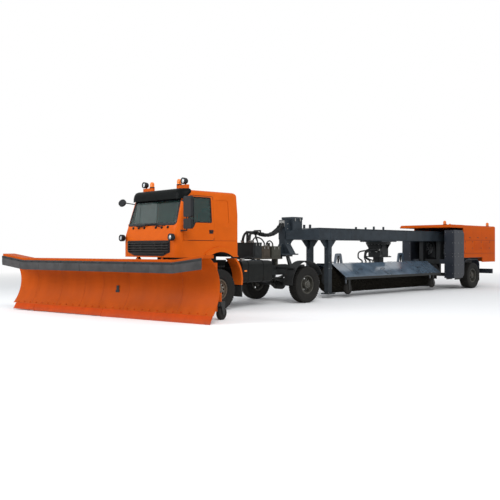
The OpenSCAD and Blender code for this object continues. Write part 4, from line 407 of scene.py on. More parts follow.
# radius, width, nut face and hub cap from the wheel's middle, nuts
wheelSizes = {"front": (0.562, 0.320, 0.092, 0.130, 10), "rear": (0.562, 0.320, 0.010, 0.130, 8),
              "trailer": (0.536, 0.385, 0.040, 0.120, 10)}


def makeTyre(label, centre, radius, width):
    bm = bmesh.new()
    bead = wheelLook["bead"]
    base = radius - wheelLook["lugDepth"]
    half = width / 2
    side = [(bead, 0.78), (bead + 0.02, 0.86), (bead + 0.035, 0.93), (bead + 0.045, 0.95),
            (bead + 0.06, 0.945), (bead + 0.11, 0.985), (bead + 0.16, 1.0), (radius - 0.085, 0.985),
            (radius - 0.075, 0.995), (radius - 0.06, 0.985), (radius - 0.04, 0.965), (base - 0.004, 0.9),
            (base, 0.8)]
    profile = [(r, -h * half) for r, h in side] + [(r, h * half) for r, h in side[::-1]]
    profile.append(profile[0])
    addLathe(bm, profile, centre, (0, 1, 0), 72)
    bmesh.ops.remove_doubles(bm, verts=bm.verts, dist=1e-5)
    count = wheelLook["lugCount"]
    pitch = 2 * math.pi / count
    w = pitch * wheelLook["lugShare"] / 2
    wide = w * 1.1
    slant = wheelLook["lugSlant"] * pitch
    root = base - wheelLook["lugRoot"]
    for s in sides:
        for i in range(count):
            a = (i + 0.25 * s) * pitch
            inner = [(0.10, a - w, 1.0), (0.10, a + w, 1.0), (0.52, a + w + slant, 1.0),
                     (0.52, a - w + slant, 1.0)]
            outer = [(0.56, a - wide + slant, 1.0), (0.56, a + wide + slant, 1.0), (0.93, a + wide, 0.985),
                     (0.93, a - wide, 0.985)]
            for quad in (inner, outer):
                ring = [(y * half * s, t, radius * k) for y, t, k in quad]
                low = [centre + Vector((math.cos(t) * root, y, math.sin(t) * root)) for y, t, k in ring]
                high = [centre + Vector((math.cos(t) * k, y, math.sin(t) * k)) for y, t, k in ring]
                addPrism(bm, low, high)
    node = "trailer_tyre" + label[7:] if label.startswith("trailer") else "tyre_" + label
    makePiece(label + "_tread", bm, ["tyre"], label + "_wheel", sharp=28, hides=(node,))


def makeNuts(label, centre, dish, nose, count):
    bm = bmesh.new()
    outward = 1 if centre.y > rowY else -1
    axis = (0, outward, 0)
    ring, stud = wheelLook["nutRing"], wheelLook["stud"]
    for i in range(count):
        a = 2 * math.pi * (i + 0.5) / count
        at = centre + Vector((math.cos(a) * ring, outward * dish, math.sin(a) * ring))
        addBolt(bm, at, axis, wheelLook["nutSize"], 1)
        addLathe(bm, [(stud, 0.0), (stud, 0.034), (0, 0.036)], at, axis, 8, 1)
    at = centre + Vector((0, outward * nose, 0))
    addLathe(bm, wheelLook["cap"], at, axis, 40, 0)
    bolts, ring = wheelLook["capBolts"], wheelLook["capRing"]
    for i in range(bolts):
        a = 2 * math.pi * i / bolts
        spot = at + Vector((math.cos(a) * ring, outward * 0.009, math.sin(a) * ring))
        addBolt(bm, spot, axis, wheelLook["capBolt"], 1)
    keys = ["frontRim" if "front" in label else "rim", "steel"]
    makePiece(label + "_nuts", bm, keys, label + "_wheel", sharp=30)


for axle, (radius, width, dish, nose, nuts) in wheelSizes.items():
    for side in ("left", "right"):
        label = axle + "_" + side
        centre = jointAt("spin_" + label)
        makeTyre(label, centre, radius, width)
        makeNuts(label, centre, dish, nose, nuts)
print("wheels dressed:", 2 * len(wheelSizes))


# Blade: weld seams on the skin, bolts of the cutting edge and the worn slot.
bladeLook = {"half": 3.44, "deepX": 0.088, "midZ": 0.820, "lowR": 0.921, "topR": 0.720, "seamFoot": 0.19,
             "seamHead": 1.335, "seamRows": 24, "seams": (-2.70, -1.71, -0.845, -0.18, 0.70, 2.39),
             "seamWidth": 0.016, "seamRise": 0.004, "seamSink": 0.002, "boltStep": 0.24, "boltZ": 0.212,
             "boltSize": 0.016, "slotY": 0.32, "slotZ": 0.675}


def skinX(z):
    r = bladeLook["lowR"] if z < bladeLook["midZ"] else bladeLook["topR"]
    return bladeLook["deepX"] + r - math.sqrt(r * r - (z - bladeLook["midZ"]) ** 2)


def skinNormal(z):
    r = bladeLook["lowR"] if z < bladeLook["midZ"] else bladeLook["topR"]
    return Vector((bladeLook["deepX"] + r - skinX(z), 0, bladeLook["midZ"] - z)).normalized()


def makeBlade():
    bm = bmesh.new()
    foot, head, count = bladeLook["seamFoot"], bladeLook["seamHead"], bladeLook["seamRows"]
    heights = [foot + (head - foot) * i / count for i in range(count + 1)]
    side = Vector((0, bladeLook["seamWidth"] / 2, 0))
    for y in bladeLook["seams"]:
        rows = []
        for z in heights:
            p = Vector((skinX(z), y, z))
            n = skinNormal(z)
            ring = (p - side - n * bladeLook["seamSink"], p + n * bladeLook["seamRise"],
                    p + side - n * bladeLook["seamSink"])
            rows.append([bm.verts.new(q) for q in ring])
        for a, b in zip(rows, rows[1:]):
            for k in range(2):
                bm.faces.new((a[k], a[k + 1], b[k + 1], b[k])).material_index = 3
    y, z = -bladeLook["half"] + 0.2, bladeLook["boltZ"]
    while y < bladeLook["half"] - 0.1:
        addBolt(bm, Vector((skinX(z), y, z)), skinNormal(z), bladeLook["boltSize"], 1)
        y += bladeLook["boltStep"]
    y, z = bladeLook["slotY"], bladeLook["slotZ"]
    x = skinX(z)
    addBox(bm, (x - 0.004, x + 0.016), (y - 0.040, y + 0.040), (z - 0.075, z + 0.075), 2)
    addBox(bm, (x, x + 0.024), (y - 0.062, y + 0.062), (z - 0.095, z - 0.030), 2)
    keys = ["blade", "edge", "black", "weld"]
    makePiece("blade_seams", bm, keys, "blade", atBlade, sharp=50)


makeBlade()

# Snow flap: nine rubber panels under a bolted clamp strip, both rising towards the blade's ends.
flapLook = {"panels": 9, "front": 0.684, "thick": 0.026, "top": 1.365, "drop": 0.250, "kink": 2.58,
            "ends": (-3.44, 3.40), "half": 3.44, "rise": 0.110, "bulge": 0.012, "ripple": 0.004, "gap": 0.007,
            "rows": 8, "cuts": 6, "strip": (0.019, 0.033), "stripHigh": 0.045, "stripDrop": 0.012,
            "boltStep": 0.28, "boltDrop": 0.034, "boltSize": 0.012}


def flapRise(y):
    return max(0.0, (abs(y) - flapLook["kink"]) / (flapLook["half"] - flapLook["kink"])) * flapLook["rise"]


def flapTop(y):
    return flapLook["top"] + flapRise(y)


def makeFlap():
    bm = bmesh.new()
    first, last = flapLook["ends"]
    width = (last - first) / flapLook["panels"]
    face, kink, rows = flapLook["front"], flapLook["kink"], flapLook["rows"]
    for i in range(flapLook["panels"]):
        y0 = first + width * i + flapLook["gap"] / 2
        y1 = y0 + width - flapLook["gap"]
        evenly = [y0 + (y1 - y0) * t / flapLook["cuts"] for t in range(1, flapLook["cuts"])]
        cuts = sorted({y0, y1, *[k for k in (-kink, kink) if y0 < k < y1], *evenly})
        front, back = [], []
        for y in cuts:
            column = []
            for k in range(rows + 1):
                t = k / rows
                wave = flapLook["ripple"] * math.sin(9 * y + 2 * i) * t
                swell = flapLook["bulge"] * math.sin(math.pi * t) + wave
                z = flapTop(y) - flapLook["drop"] * t
                column.append(Vector((face + swell + flapLook["thick"] - flapLook["ripple"], y, z)))
            front.append([bm.verts.new(p) for p in column])
            back.append([bm.verts.new((face, p.y, p.z)) for p in column])
        for a in range(len(cuts) - 1):
            b = a + 1
            for k in range(rows):
                bm.faces.new((front[a][k], front[b][k], front[b][k + 1], front[a][k + 1]))
                bm.faces.new((back[a][k], back[a][k + 1], back[b][k + 1], back[b][k]))
            bm.faces.new((front[a][0], back[a][0], back[b][0], front[b][0]))
            bm.faces.new((front[a][rows], front[b][rows], back[b][rows], back[a][rows]))
        for k in range(rows):
            bm.faces.new((front[0][k], front[0][k + 1], back[0][k + 1], back[0][k]))
            bm.faces.new((front[-1][k], back[-1][k], back[-1][k + 1], front[-1][k + 1]))
    stations = [first, -kink, kink, last]
    x = [face + reach for reach in flapLook["strip"]]
    for pair in zip(stations, stations[1:]):
        ends = []
        for y in pair:
            z = flapTop(y) - flapLook["stripDrop"]
            low = z - flapLook["stripHigh"]
            ends.append([(x[0], y, low), (x[1], y, low), (x[1], y, z), (x[0], y, z)])
        addPrism(bm, ends[0], ends[1], 1)
    y = first + 0.12
    while y < last:
        addBolt(bm, Vector((x[1], y, flapTop(y) - flapLook["boltDrop"])), (1, 0, 0), flapLook["boltSize"], 1)
        y += flapLook["boltStep"]
    makePiece("snow_flap_rubber", bm, ["rubber", "black"], "blade", atBlade, sharp=40,
              hides=("snow_flap",))


makeFlap()

# Pipes, ports and clamp bands on the two cylinders.
pipeLook = {"firstPort": 0.20, "lastPort": 0.04, "pipe": 0.009, "bands": (0.3, 0.62, 0.97),
            "bandWidth": 0.026, "port": ((0, 0.045), (0.02, 0.045), (0.02, 0.085), (0.013, 0.09), (0, 0.09)),
            "band": ((0.0565, 0), (0.061, 0.002), (0.061, 0.024), (0.0565, 0.026))}


def makeCylinderPipes(name, body, base, tip, length):
    bm = bmesh.new()
    d = (Vector(tip) - Vector(base)).normalized()
    up = Vector((0, 0, 1)) - d * d.z
    up.normalize()
    at = Vector(base)
    side = up.cross(d)
    for s, reach in ((-1, pipeLook["firstPort"]), (1, length - pipeLook["lastPort"])):
        port = at + d * reach
        addLathe(bm, pipeLook["port"], port, up, 12, 0)
        path = [port + up * 0.085, at + d * (reach - 0.02) + up * 0.10 + side * s * 0.015,
                at + d * (reach * 0.5 + 0.05) + up * 0.092 + side * s * 0.025,
                at + d * 0.12 + up * 0.09 + side * s * 0.03]
        addSweep(bm, smoothPath(path), pipeLook["pipe"], 8, 1)
    for share in pipeLook["bands"]:
        addLathe(bm, pipeLook["band"], at + d * (length * share - pipeLook["bandWidth"]), d, 28, 0)
    makePiece(name, bm, ["black", "hose"], body, atAxle)


makeCylinderPipes("lift_pipes", "lift_tube", (1.540, 0, 1.030), (2.120, 0, 0.790), 0.47)
makeCylinderPipes("swing_pipes", "swing_tube", (1.640, 0.370, 0.860), (2.467, 0.398, 0.860), 0.64)
print("plow dressed")


# Cab: points on its raked front and on its sides.
cabLook = {"cowlX": 1.395, "cowlZ": 2.25, "rake": math.atan2(0.32, 0.95), "half": 1.245, "pillar": 0.26,
           "lean": 0.08, "leanHigh": 0.95}


def cabFront(y, z, lift):
    k = cabLook["pillar"]
    over = max(0.0, abs(y) - cabLook["half"] + k)
    fore = lift - k + math.sqrt(k * k - over * over)
    c, s = math.cos(cabLook["rake"]), math.sin(cabLook["rake"])
    rise = (z - cabLook["cowlZ"] - fore * s) / c
    return Vector((cabLook["cowlX"] + fore * c - rise * s, y, z))


def cabSide(x, z, lift, s):
    lean = cabLook["lean"] * max(0.0, z - cabLook["cowlZ"]) / cabLook["leanHigh"]
    return Vector((x, s * (cabLook["half"] - lean + lift), z))


# Closed outline with round corners, sampled finely enough for a curved surface.
def roundLoop(corners, radius, inset, corner=6, edge=10):
    count = len(corners)
    c = [Vector((p[0], p[1])) for p in corners]
    middle = sum(c, Vector((0, 0))) / count
    moved = []
    for i in range(count):
        a, b, d = c[i - 1], c[i], c[(i + 1) % count]
        n1 = Vector((-(b - a).y, (b - a).x)).normalized()
        n2 = Vector((-(d - b).y, (d - b).x)).normalized()
        if n1.dot(middle - b) < 0 and n2.dot(middle - b) < 0:
            n1, n2 = -n1, -n2
        moved.append(b + (n1 + n2) * inset / (1 + n1.dot(n2)))
    arcs = []
    for i in range(count):
        a, b, d = moved[i - 1], moved[i], moved[(i + 1) % count]
        u, v = (a - b).normalized(), (d - b).normalized()
        half = math.acos(max(-1, min(1, u.dot(v)))) / 2
        r = max(0.004, radius - inset)
        t = r / math.tan(half)
        m = b + (u + v).normalized() * r / math.sin(half)
        p, q = b + u * t - m, b + v * t - m
        start, turn = math.atan2(p.y, p.x), p.angle_signed(q)
        turns = [start - turn * k / corner for k in range(corner + 1)]
        arcs.append([m + Vector((math.cos(w), math.sin(w))) * r for w in turns])
    loop = []
    for i in range(count):
        loop += arcs[i]
        a, b = arcs[i][-1], arcs[(i + 1) % count][0]
        loop += [a + (b - a) * k / edge for k in range(1, edge)]
    return loop


# A closed band swept round an outline, its section given as inset and lift.
def addBand(bm, corners, radius, section, surface, paintIndex=0):
    rows = []
    for inset, lift in section:
        rows.append([bm.verts.new(surface(p.x, p.y, lift)) for p in roundLoop(corners, radius, inset)])
    for a, b in zip(rows, rows[1:] + rows[:1]):
        for i in range(len(a)):
            j = (i + 1) % len(a)
            bm.faces.new((a[i], a[j], b[j], b[i])).material_index = paintIndex


# A flat strip along a path on a surface, its width to the left of the way it goes.
def addStrip(bm, path, width, surface, paintIndex=0):
    rows = []
    for i, p in enumerate(path):
        d = Vector(path[min(i + 1, len(path) - 1)]) - Vector(path[max(i - 1, 0)])
        p = Vector(p)
        q = p + Vector((-d.y, d.x)).normalized() * width
        ring = ((p, -0.003), (q, -0.003), (q, 0.001), (p, 0.001))
        rows.append([bm.verts.new(surface(a.x, a.y, lift)) for a, lift in ring])
    for a, b in zip(rows, rows[1:]):
        for k in range(4):
            bm.faces.new((a[k], a[(k + 1) % 4], b[(k + 1) % 4], b[k])).material_index = paintIndex
    for ring in (rows[0][::-1], rows[-1]):
        bm.faces.new(ring).material_index = paintIndex


# Windscreen: a dark printed edge on the pane and a rubber seal round it.
screenLook = {"low": 2.285, "lowHalf": 1.075, "high": 2.985, "highHalf": 1.010, "round": 0.08,
              "frit": ((0.002, -0.0108), (0.002, -0.0098), (0.065, -0.0098), (0.065, -0.0108)),
              "seal": ((-0.012, -0.002), (-0.010, 0.004), (0.008, 0.003), (0.014, -0.004), (0.012, -0.0105),
                       (0.001, -0.0105))}


def makeScreenTrim():
    bm = bmesh.new()
    low, lowHalf, high, highHalf = [screenLook[k] for k in ("low", "lowHalf", "high", "highHalf")]
    corners = [(-lowHalf, low), (lowHalf, low), (highHalf, high), (-highHalf, high)]
    for i, key in enumerate(("frit", "seal")):
        addBand(bm, corners, screenLook["round"], screenLook[key], cabFront, i)
    makePiece("windscreen_trim", bm, ["frit", "seal"], "cab", atAxle)


# Doors: seal of the pane, shut line along foot, rear edge and top, handle and window post.
doorLook = {"pane": ((0.300, 2.355), (0.850, 2.355), (0.930, 2.225), (1.120, 2.225), (1.010, 3.015),
                     (0.300, 3.015)),
            "seal": ((-0.010, -0.002), (-0.008, 0.004), (0.010, 0.003), (0.018, -0.004), (0.016, -0.0105),
                     (0.001, -0.0105)), "paneRound": 0.03,
            "rear": 0.218, "low": 1.878, "high": 3.057, "footFront": 1.12, "topFront": 0.98, "round": 0.057,
            "line": 0.011, "post": ((0.90, 2.262), (0.878, 3.008)), "postRadius": 0.012, "postSink": -0.011,
            # boxes of the handle, as x, y and z
            "handle": (((0.258, 0.392), (1.244, 1.2475), (2.062, 2.108)),
                       ((0.262, 0.388), (1.254, 1.262), (2.118, 2.152)),
                       ((0.275, 0.293), (1.246, 1.272), (2.126, 2.144)),
                       ((0.360, 0.378), (1.246, 1.272), (2.126, 2.144)),
                       ((0.268, 0.385), (1.268, 1.278), (2.124, 2.146)))}


def makeDoorTrim(s, name, body):
    bm = bmesh.new()
    d = doorLook

    def skin(x, z, lift):
        return cabSide(x, z, lift, s)

    addBand(bm, d["pane"], d["paneRound"], d["seal"], skin, 0)
    r = d["round"]
    path = [(d["footFront"], d["low"])]
    for z, first in ((d["low"] + r, 270), (d["high"] - r, 180)):
        turns = [math.radians(first - 15 * k) for k in range(7)]
        path += [(d["rear"] + r * (1 + math.cos(t)), z + r * math.sin(t)) for t in turns]
    path.append((d["topFront"], d["high"]))
    addStrip(bm, path[::-1], d["line"], skin, 0)
    for x, y, z in d["handle"]:
        addBox(bm, x, span(s, *y), z, 1)
    low, high = [skin(x, z, d["postSink"]) for x, z in d["post"]]
    addRod(bm, low, high, d["postRadius"], 8, 0)
    makePiece(name, bm, ["seal", "plastic"], body, atAxle, bevel=0.002)


# Sun visor: one shell round the brow, its lower edge rising towards the doors.
visorLook = {"front": 1.265, "half": 1.195, "back": 0.965, "round": 0.30, "low": 2.962, "high": 3.245,
             "knee": 1.135, "slant": 1.03,
             "section": ((0.0, 0.0), (-0.004, 0.35), (-0.022, 0.62), (-0.06, 0.85), (-0.12, 0.965),
                         (-0.2, 1.0), (-0.2, 0.95), (-0.11, 0.90), (-0.06, 0.78), (-0.034, 0.58),
                         (-0.018, 0.3), (-0.014, 0.0))}


def makeVisor():
    bm = bmesh.new()
    v = visorLook
    r = v["round"]
    inner, edge = v["front"] - r, v["half"] - r
    path = [(v["back"] + (inner - v["back"]) * i / 3, v["half"], 90) for i in range(3)]
    for a in range(90, -1, -9):
        path.append((inner + r * math.cos(math.radians(a)), edge + r * math.sin(math.radians(a)), a))
    path += [(v["front"], edge * (1 - i / 4), 0) for i in range(1, 4)]
    path = path + [(v["front"], 0, 0)] + [(x, -y, -a) for x, y, a in path[::-1]]
    rings = []
    for x, y, a in path:
        out = Vector((math.cos(math.radians(a)), math.sin(math.radians(a)), 0))
        low = v["low"] + max(0.0, v["knee"] - x) * v["slant"]
        rings.append([])
        for shift, share in v["section"]:
            rings[-1].append(bm.verts.new(Vector((x, y, low + (v["high"] - low) * share)) + out * shift))
    count = len(v["section"])
    for a, b in zip(rings, rings[1:]):
        for k in range(count):
            bm.faces.new((a[k], a[(k + 1) % count], b[(k + 1) % count], b[k]))
    bm.faces.new(rings[0][::-1])
    bm.faces.new(rings[-1])
    makePiece("visor_shell", bm, ["visor"], "cab", atAxle, sharp=45, hides=("sun_visor",))


# Grille: five slats, shorter in the narrowing foot, and upright stays behind them.
slatLook = {"count": 5, "foot": 1.475, "high": 0.405, "half": 0.905, "kneeZ": 1.60, "footHalf": 0.60,
            "flare": 2.2, "back": 1.4975, "front": 1.509, "rear": 0.013, "nose": 0.006,
            "stays": (-0.62, -0.31, 0.31, 0.62), "stayX": (1.470, 1.490), "stayZ": (1.60, 1.83),
            "stayHalf": 0.006}


def makeGrilleSlats():
    bm = bmesh.new()
    g = slatLook
    for i in range(1, g["count"] + 1):
        z = g["foot"] + g["high"] * i / (g["count"] + 1)
        half = g["half"] if z > g["kneeZ"] else g["footHalf"] + (z - g["foot"]) * g["flare"]
        ring = [(g["back"], z - g["rear"]), (g["front"], z - g["nose"]), (g["front"], z + g["nose"]),
                (g["back"], z + g["rear"])]
        addPrism(bm, [(x, -half, h) for x, h in ring], [(x, half, h) for x, h in ring], 0)
    for y in g["stays"]:
        addBox(bm, g["stayX"], (y - g["stayHalf"], y + g["stayHalf"]), g["stayZ"], 0)
    makePiece("grille_slats", bm, ["slat"], "cab", atAxle)


# Wipers: three pivots and one arm with its blade on each half of the screen.
wiperLook = {"arms": ((0.52, -1, 0.006), (-0.52, 1, 0.022)), "pivots": (-0.26, 0.0, 0.26), "pivotZ": 2.225,
             "cap": ((0, -0.012), (0.036, -0.012), (0.036, 0.016), (0.022, 0.028), (0, 0.03)),
             "armLift": 0.018, "arm": ((0.0, 2.23), (0.44, 2.31)), "armRadius": 0.013,
             "blade": ((-0.12, 2.272), (0.78, 2.325)), "bladeRadius": 0.012}


def makeWipers():
    bm = bmesh.new()
    w = wiperLook
    for pivot, way, lift in w["arms"]:
        for k in w["pivots"]:
            addLathe(bm, w["cap"], cabFront(pivot + k, w["pivotZ"], 0.0), (0.95, 0, 0.32), 16)
        rods = ((w["arm"], w["armRadius"], lift + w["armLift"]), (w["blade"], w["bladeRadius"], lift))
        for ends, radius, rise in rods:
            start, end = [cabFront(pivot + way * y, z, rise) for y, z in ends]
            addRod(bm, start, end, radius, 8)
    makePiece("wipers", bm, ["seal"], "cab", atAxle)


# Lamps on the cab: work lamps and beacon rings on the roof, plow lamps beside the grille.
beaconRing = ((0.063, 0.0), (0.072, 0.001), (0.072, 0.026), (0.0635, 0.030))
cabLampLook = {"work": (0.980, 0.880, 3.445), "beacon": (0.900, 0.610, 3.349), "plow": (1.590, 1.120, 1.960),
               "workRim": ((0.083, -0.05), (0.088, -0.03), (0.088, 0.022), (0.064, 0.026), (0.060, 0.004),
                           (0.0, 0.004)),
               "workLens": ((0.059, 0.005), (0.045, 0.014), (0.0, 0.018)),
               "workBack": ((0.083, -0.082), (0.062, -0.118), (0.03, -0.13), (0, -0.13)),
               "plowRim": ((0.092, -0.06), (0.095, -0.02), (0.094, 0.012), (0.060, 0.020), (0.056, 0.002),
                           (0.0, 0.002)),
               "plowLens": ((0.055, 0.003), (0.04, 0.010), (0.0, 0.014))}


def makeCabLamps():
    bm = bmesh.new()
    lamps = cabLampLook
    for s in sides:
        places = [lamps[k] for k in ("work", "beacon", "plow")]
        work, beacon, plow = [Vector((x, s * y, z)) for x, y, z in places]
        addLathe(bm, lamps["workRim"], work, (1, 0, 0), 32, 0)
        addLathe(bm, lamps["workLens"], work, (1, 0, 0), 32, 1)
        addLathe(bm, lamps["workBack"], work, (1, 0, 0), 32, 0)
        addLathe(bm, beaconRing, beacon, (0, 0, 1), 32, 0)
        addLathe(bm, lamps["plowRim"], plow, (1, 0, 0), 32, 0)
        addLathe(bm, lamps["plowLens"], plow, (1, 0, 0), 32, 1)
    makePiece("cab_lamp_lenses", bm, ["plastic", "lens"], "cab", atAxle, bevel=0.003)


# Headlamps in the bumper: a pale lens with two rings beside an amber one.
headLampLook = {"x": (1.4665, 1.476), "z": (0.872, 1.048), "lens": (0.772, 0.985), "amber": (0.992, 1.068),
                "rings": ((0.070, 0.852), (0.048, 0.945)), "ringX": 1.475, "ringZ": 0.960}


def makeBumperLamps():
    bm = bmesh.new()
    h = headLampLook
    for s in sides:
        addBox(bm, h["x"], span(s, *h["lens"]), h["z"], 0)
        addBox(bm, h["x"], span(s, *h["amber"]), h["z"], 1)
        for r, y in h["rings"]:
            ring = [(r, 0.0), (r, 0.006), (r - 0.012, 0.008), (r - 0.02, 0.003), (0, 0.006)]
            addLathe(bm, ring, (h["ringX"], s * y, h["ringZ"]), (1, 0, 0), 28, 0)
    makePiece("bumper_lamps", bm, ["lens", "amber"], "tractor", atAxle, bevel=0.002)


mirrorLook = {"x": (1.2585, 1.2625), "y": (1.36, 1.62), "panes": ((2.190, 2.410), (2.490, 2.980))}


def makeMirrorGlass():
    bm = bmesh.new()
    for z in mirrorLook["panes"]:
        addBox(bm, mirrorLook["x"], mirrorLook["y"], z)
    makePiece("mirror_glass", bm, ["mirror"], "cab", atAxle, bevel=0.004)


# Entry steps: a tread plate with cross bars in each recess of the bumper.
stepLook = {"levels": (0.624, 0.896), "x": (0.81, 1.13), "y": (1.02, 1.232), "plate": 0.012, "bars": 9,
            "barStart": 0.825, "barStep": 0.034, "barSize": 0.012, "barHigh": 0.010}


def makeSteps():
    bm = bmesh.new()
    t = stepLook
    for s in sides:
        low, high = span(s, *t["y"])
        for z in t["levels"]:
            top = z + t["plate"]
            addBox(bm, t["x"], (low, high), (z, top), 0)
            for i in range(t["bars"]):
                x = t["barStart"] + i * t["barStep"]
                addBox(bm, (x, x + t["barSize"]), (low + 0.012, high - 0.012), (top, top + t["barHigh"]), 0)
    makePiece("cab_steps", bm, ["black"], "tractor", atAxle, bevel=0.002)


# Seats: crowned cushions with sewn channels. Each cushion is x, z, length, width and height.
seatLook = {"middles": (0.56025, -0.56025), "base": (0.275, 2.128, 0.45, 0.47, 0.125),
            "back": (0.005, 2.42, 0.115, 0.46, 0.48), "head": (-0.058, 2.715, 0.10, 0.27, 0.125),
            "lean": 0.138, "crown": 0.02, "channels": (-0.5, 0.5), "channel": 0.011, "channelWidth": 0.06,
            "waist": 0.03, "soft": 0.34}


# A cube's skin in n by n patches a side, rounded, crowned towards one axis and pulled in between its corners.
def addCushion(bm, middle, size, crown, axis, tilt, channels, n=14):
    grid = {}
    turn = Matrix.Rotation(tilt, 3, "Y")
    for k in range(3):
        for end in (0, n):
            for i in range(n):
                for j in range(n):
                    ring = []
                    for di, dj in ((0, 0), (1, 0), (1, 1), (0, 1)):
                        spot = [0, 0, 0]
                        spot[k], spot[(k + 1) % 3], spot[(k + 2) % 3] = end, i + di, j + dj
                        spot = tuple(spot)
                        if spot not in grid:
                            grid[spot] = bm.verts.new([2 * c / n - 1 for c in spot])
                        ring.append(grid[spot])
                    bm.faces.new(ring)
    flat, waist = 1 - seatLook["soft"], seatLook["waist"]
    a, b = [k for k in range(3) if k != axis]
    for v in grid.values():
        p = v.co.copy()
        core = Vector([max(-flat, min(flat, c)) for c in p])
        rest = p - core
        if rest.length > 1e-9:
            p = core + rest.normalized() * max(abs(c) for c in rest)
        bow = (1 - p[a] ** 2) * (1 - p[b] ** 2)
        if v.co[axis] > 0:
            groove = sum(math.exp(-((p[b] - c) / seatLook["channelWidth"]) ** 2) for c in channels)
            p[axis] += (crown * bow - seatLook["channel"] * groove * (1 - p[a] ** 4)) * 2 / size[axis]
        p[a] *= 1 - waist * (1 - p[b] ** 2)
        p[b] *= 1 - waist * (1 - p[a] ** 2)
        v.co = Vector(middle) + turn @ Vector([p[k] * size[k] / 2 for k in range(3)])


def makeSeats():
    bm = bmesh.new()
    crown, lean, channels = seatLook["crown"], -seatLook["lean"], seatLook["channels"]
    cushions = (("base", crown, 2, 0.0, channels), ("back", crown, 0, lean, channels),
                ("head", crown / 2, 0, lean, ()))
    for y in seatLook["middles"]:
        for key, rise, axis, tilt, sewn in cushions:
            x, z, *size = seatLook[key]
            addCushion(bm, (x, y, z), size, rise, axis, tilt, sewn)
    seat = makePiece("cab_seats", bm, ["seat"], "cab", atAxle, sharp=80, hides=("seats",))
    mod = seat.modifiers.new("soft", "SUBSURF")
    mod.levels = 1
    mod.render_levels = 1


makeVisor()
makeScreenTrim()
makeGrilleSlats()
makeDoorTrim(1, "door_left_trim", "left_door")
makeDoorTrim(-1, "door_right_trim", "right_door")
makeWipers()
makeCabLamps()
makeBumperLamps()
makeMirrorGlass()
makeSteps()
makeSeats()

# Painted shade on the cab side: the walls of the pressed panel's recess and of the groove at the door's foot
# take a dark paint.
panelLook = {"x": (-0.32, 0.12), "z": (2.32, 2.97), "grooveZ": 1.875, "grooveHalf": 0.012, "near": 0.002}


def inRecessShade(c):
    x, z = panelLook["x"], panelLook["z"]
    skin = cabLook["half"] - 0.0008 - max(0.0, c.z - cabLook["cowlZ"]) * 0.0843
    edge = min(abs(c.x - x[0]), abs(c.x - x[1]), abs(c.z - z[0]), abs(c.z - z[1])) < panelLook["near"]
    groove = abs(c.z - panelLook["grooveZ"]) < panelLook["grooveHalf"]
    return 1.15 < abs(c.y) < skin and x[0] - 0.01 < c.x < x[1] + 0.01 and (groove or edge)


def onRoofLamp(c):
    return (c.z > 3.352 and abs(abs(c.y) - 0.88) < 0.09) or (c.x > 1.499 and c.z < 2.2)


paintFaces("cab_lamps", "amber", atAxle, lambda c: c.z > 3.351 and abs(abs(c.y) - 0.61) < 0.064)
paintFaces("cab_lamps", "plastic", atAxle, onRoofLamp)
for node in ("door_left", "door_right"):
    paintFaces(node, "plastic", atAxle, lambda c: abs(c.y) > 1.2452 and c.x < 0.41)
# Painted shade in the recess and the groove on the cab side.
paintFaces("cab_shell", "seam", atAxle, inRecessShade)
paintFaces("cab_shell", "black", atAxle, lambda c: c.z < 1.62 and abs(c.y) < 1.19 and c.x < 1.40)
paintFaces("front_fenders", "black", atAxle, lambda c: c.z < 0.659 or (abs(c.y) < 0.9))
print("cab dressed")


# Tractor deck: lids, side panels, latches and breather caps. A box is rear, front, half and top.
deckLook = {"boxes": ((-2.319, -1.975, 0.494, 1.840), (-2.713, -2.356, 0.468, 1.740),
                      (-3.155, -2.762, 0.494, 1.730)),
            "lidEdge": 0.008, "lidDrop": 0.035, "lidRise": 0.022 / 3, "panelEdge": 0.05, "panelFoot": 1.44,
            "panelDrop": 0.07, "panel": (0.001, 0.012), "latch": (0.006, 0.022), "latchWidth": 0.03,
            "caps": ((-2.05, 0.30, 1.845), (-2.25, -0.28, 1.845), (-3.05, -0.30, 1.735)),
            "cap": ((0, 0.0), (0.045, 0.0), (0.045, 0.03), (0.055, 0.035), (0.055, 0.065), (0.04, 0.075),
                    (0, 0.076))}


def makeDeck():
    bm = bmesh.new()
    d = deckLook
    rim, edge = d["lidEdge"], d["panelEdge"]
    for key, (rear, front, half, top) in enumerate(d["boxes"]):
        lid = (top - d["lidDrop"], top + d["lidRise"])
        addBox(bm, (rear - rim, front + rim), (-half - rim, half + rim), lid, key)
        for s in sides:
            panel, latch = [span(s, half + y[0], half + y[1]) for y in (d["panel"], d["latch"])]
            addBox(bm, (rear + edge, front - edge), panel, (d["panelFoot"], top - d["panelDrop"]), key)
            for x in (rear + 0.09, front - 0.12):
                addBox(bm, (x, x + d["latchWidth"]), latch, (top - 0.09, top - 0.02), 3)
    for at in d["caps"]:
        addLathe(bm, d["cap"], at, (0, 0, 1), 20, 3)
    makePiece("deck_lids", bm, ["black", "brown", "olive", "steel"], "tractor", atAxle,
              bevel=0.004)


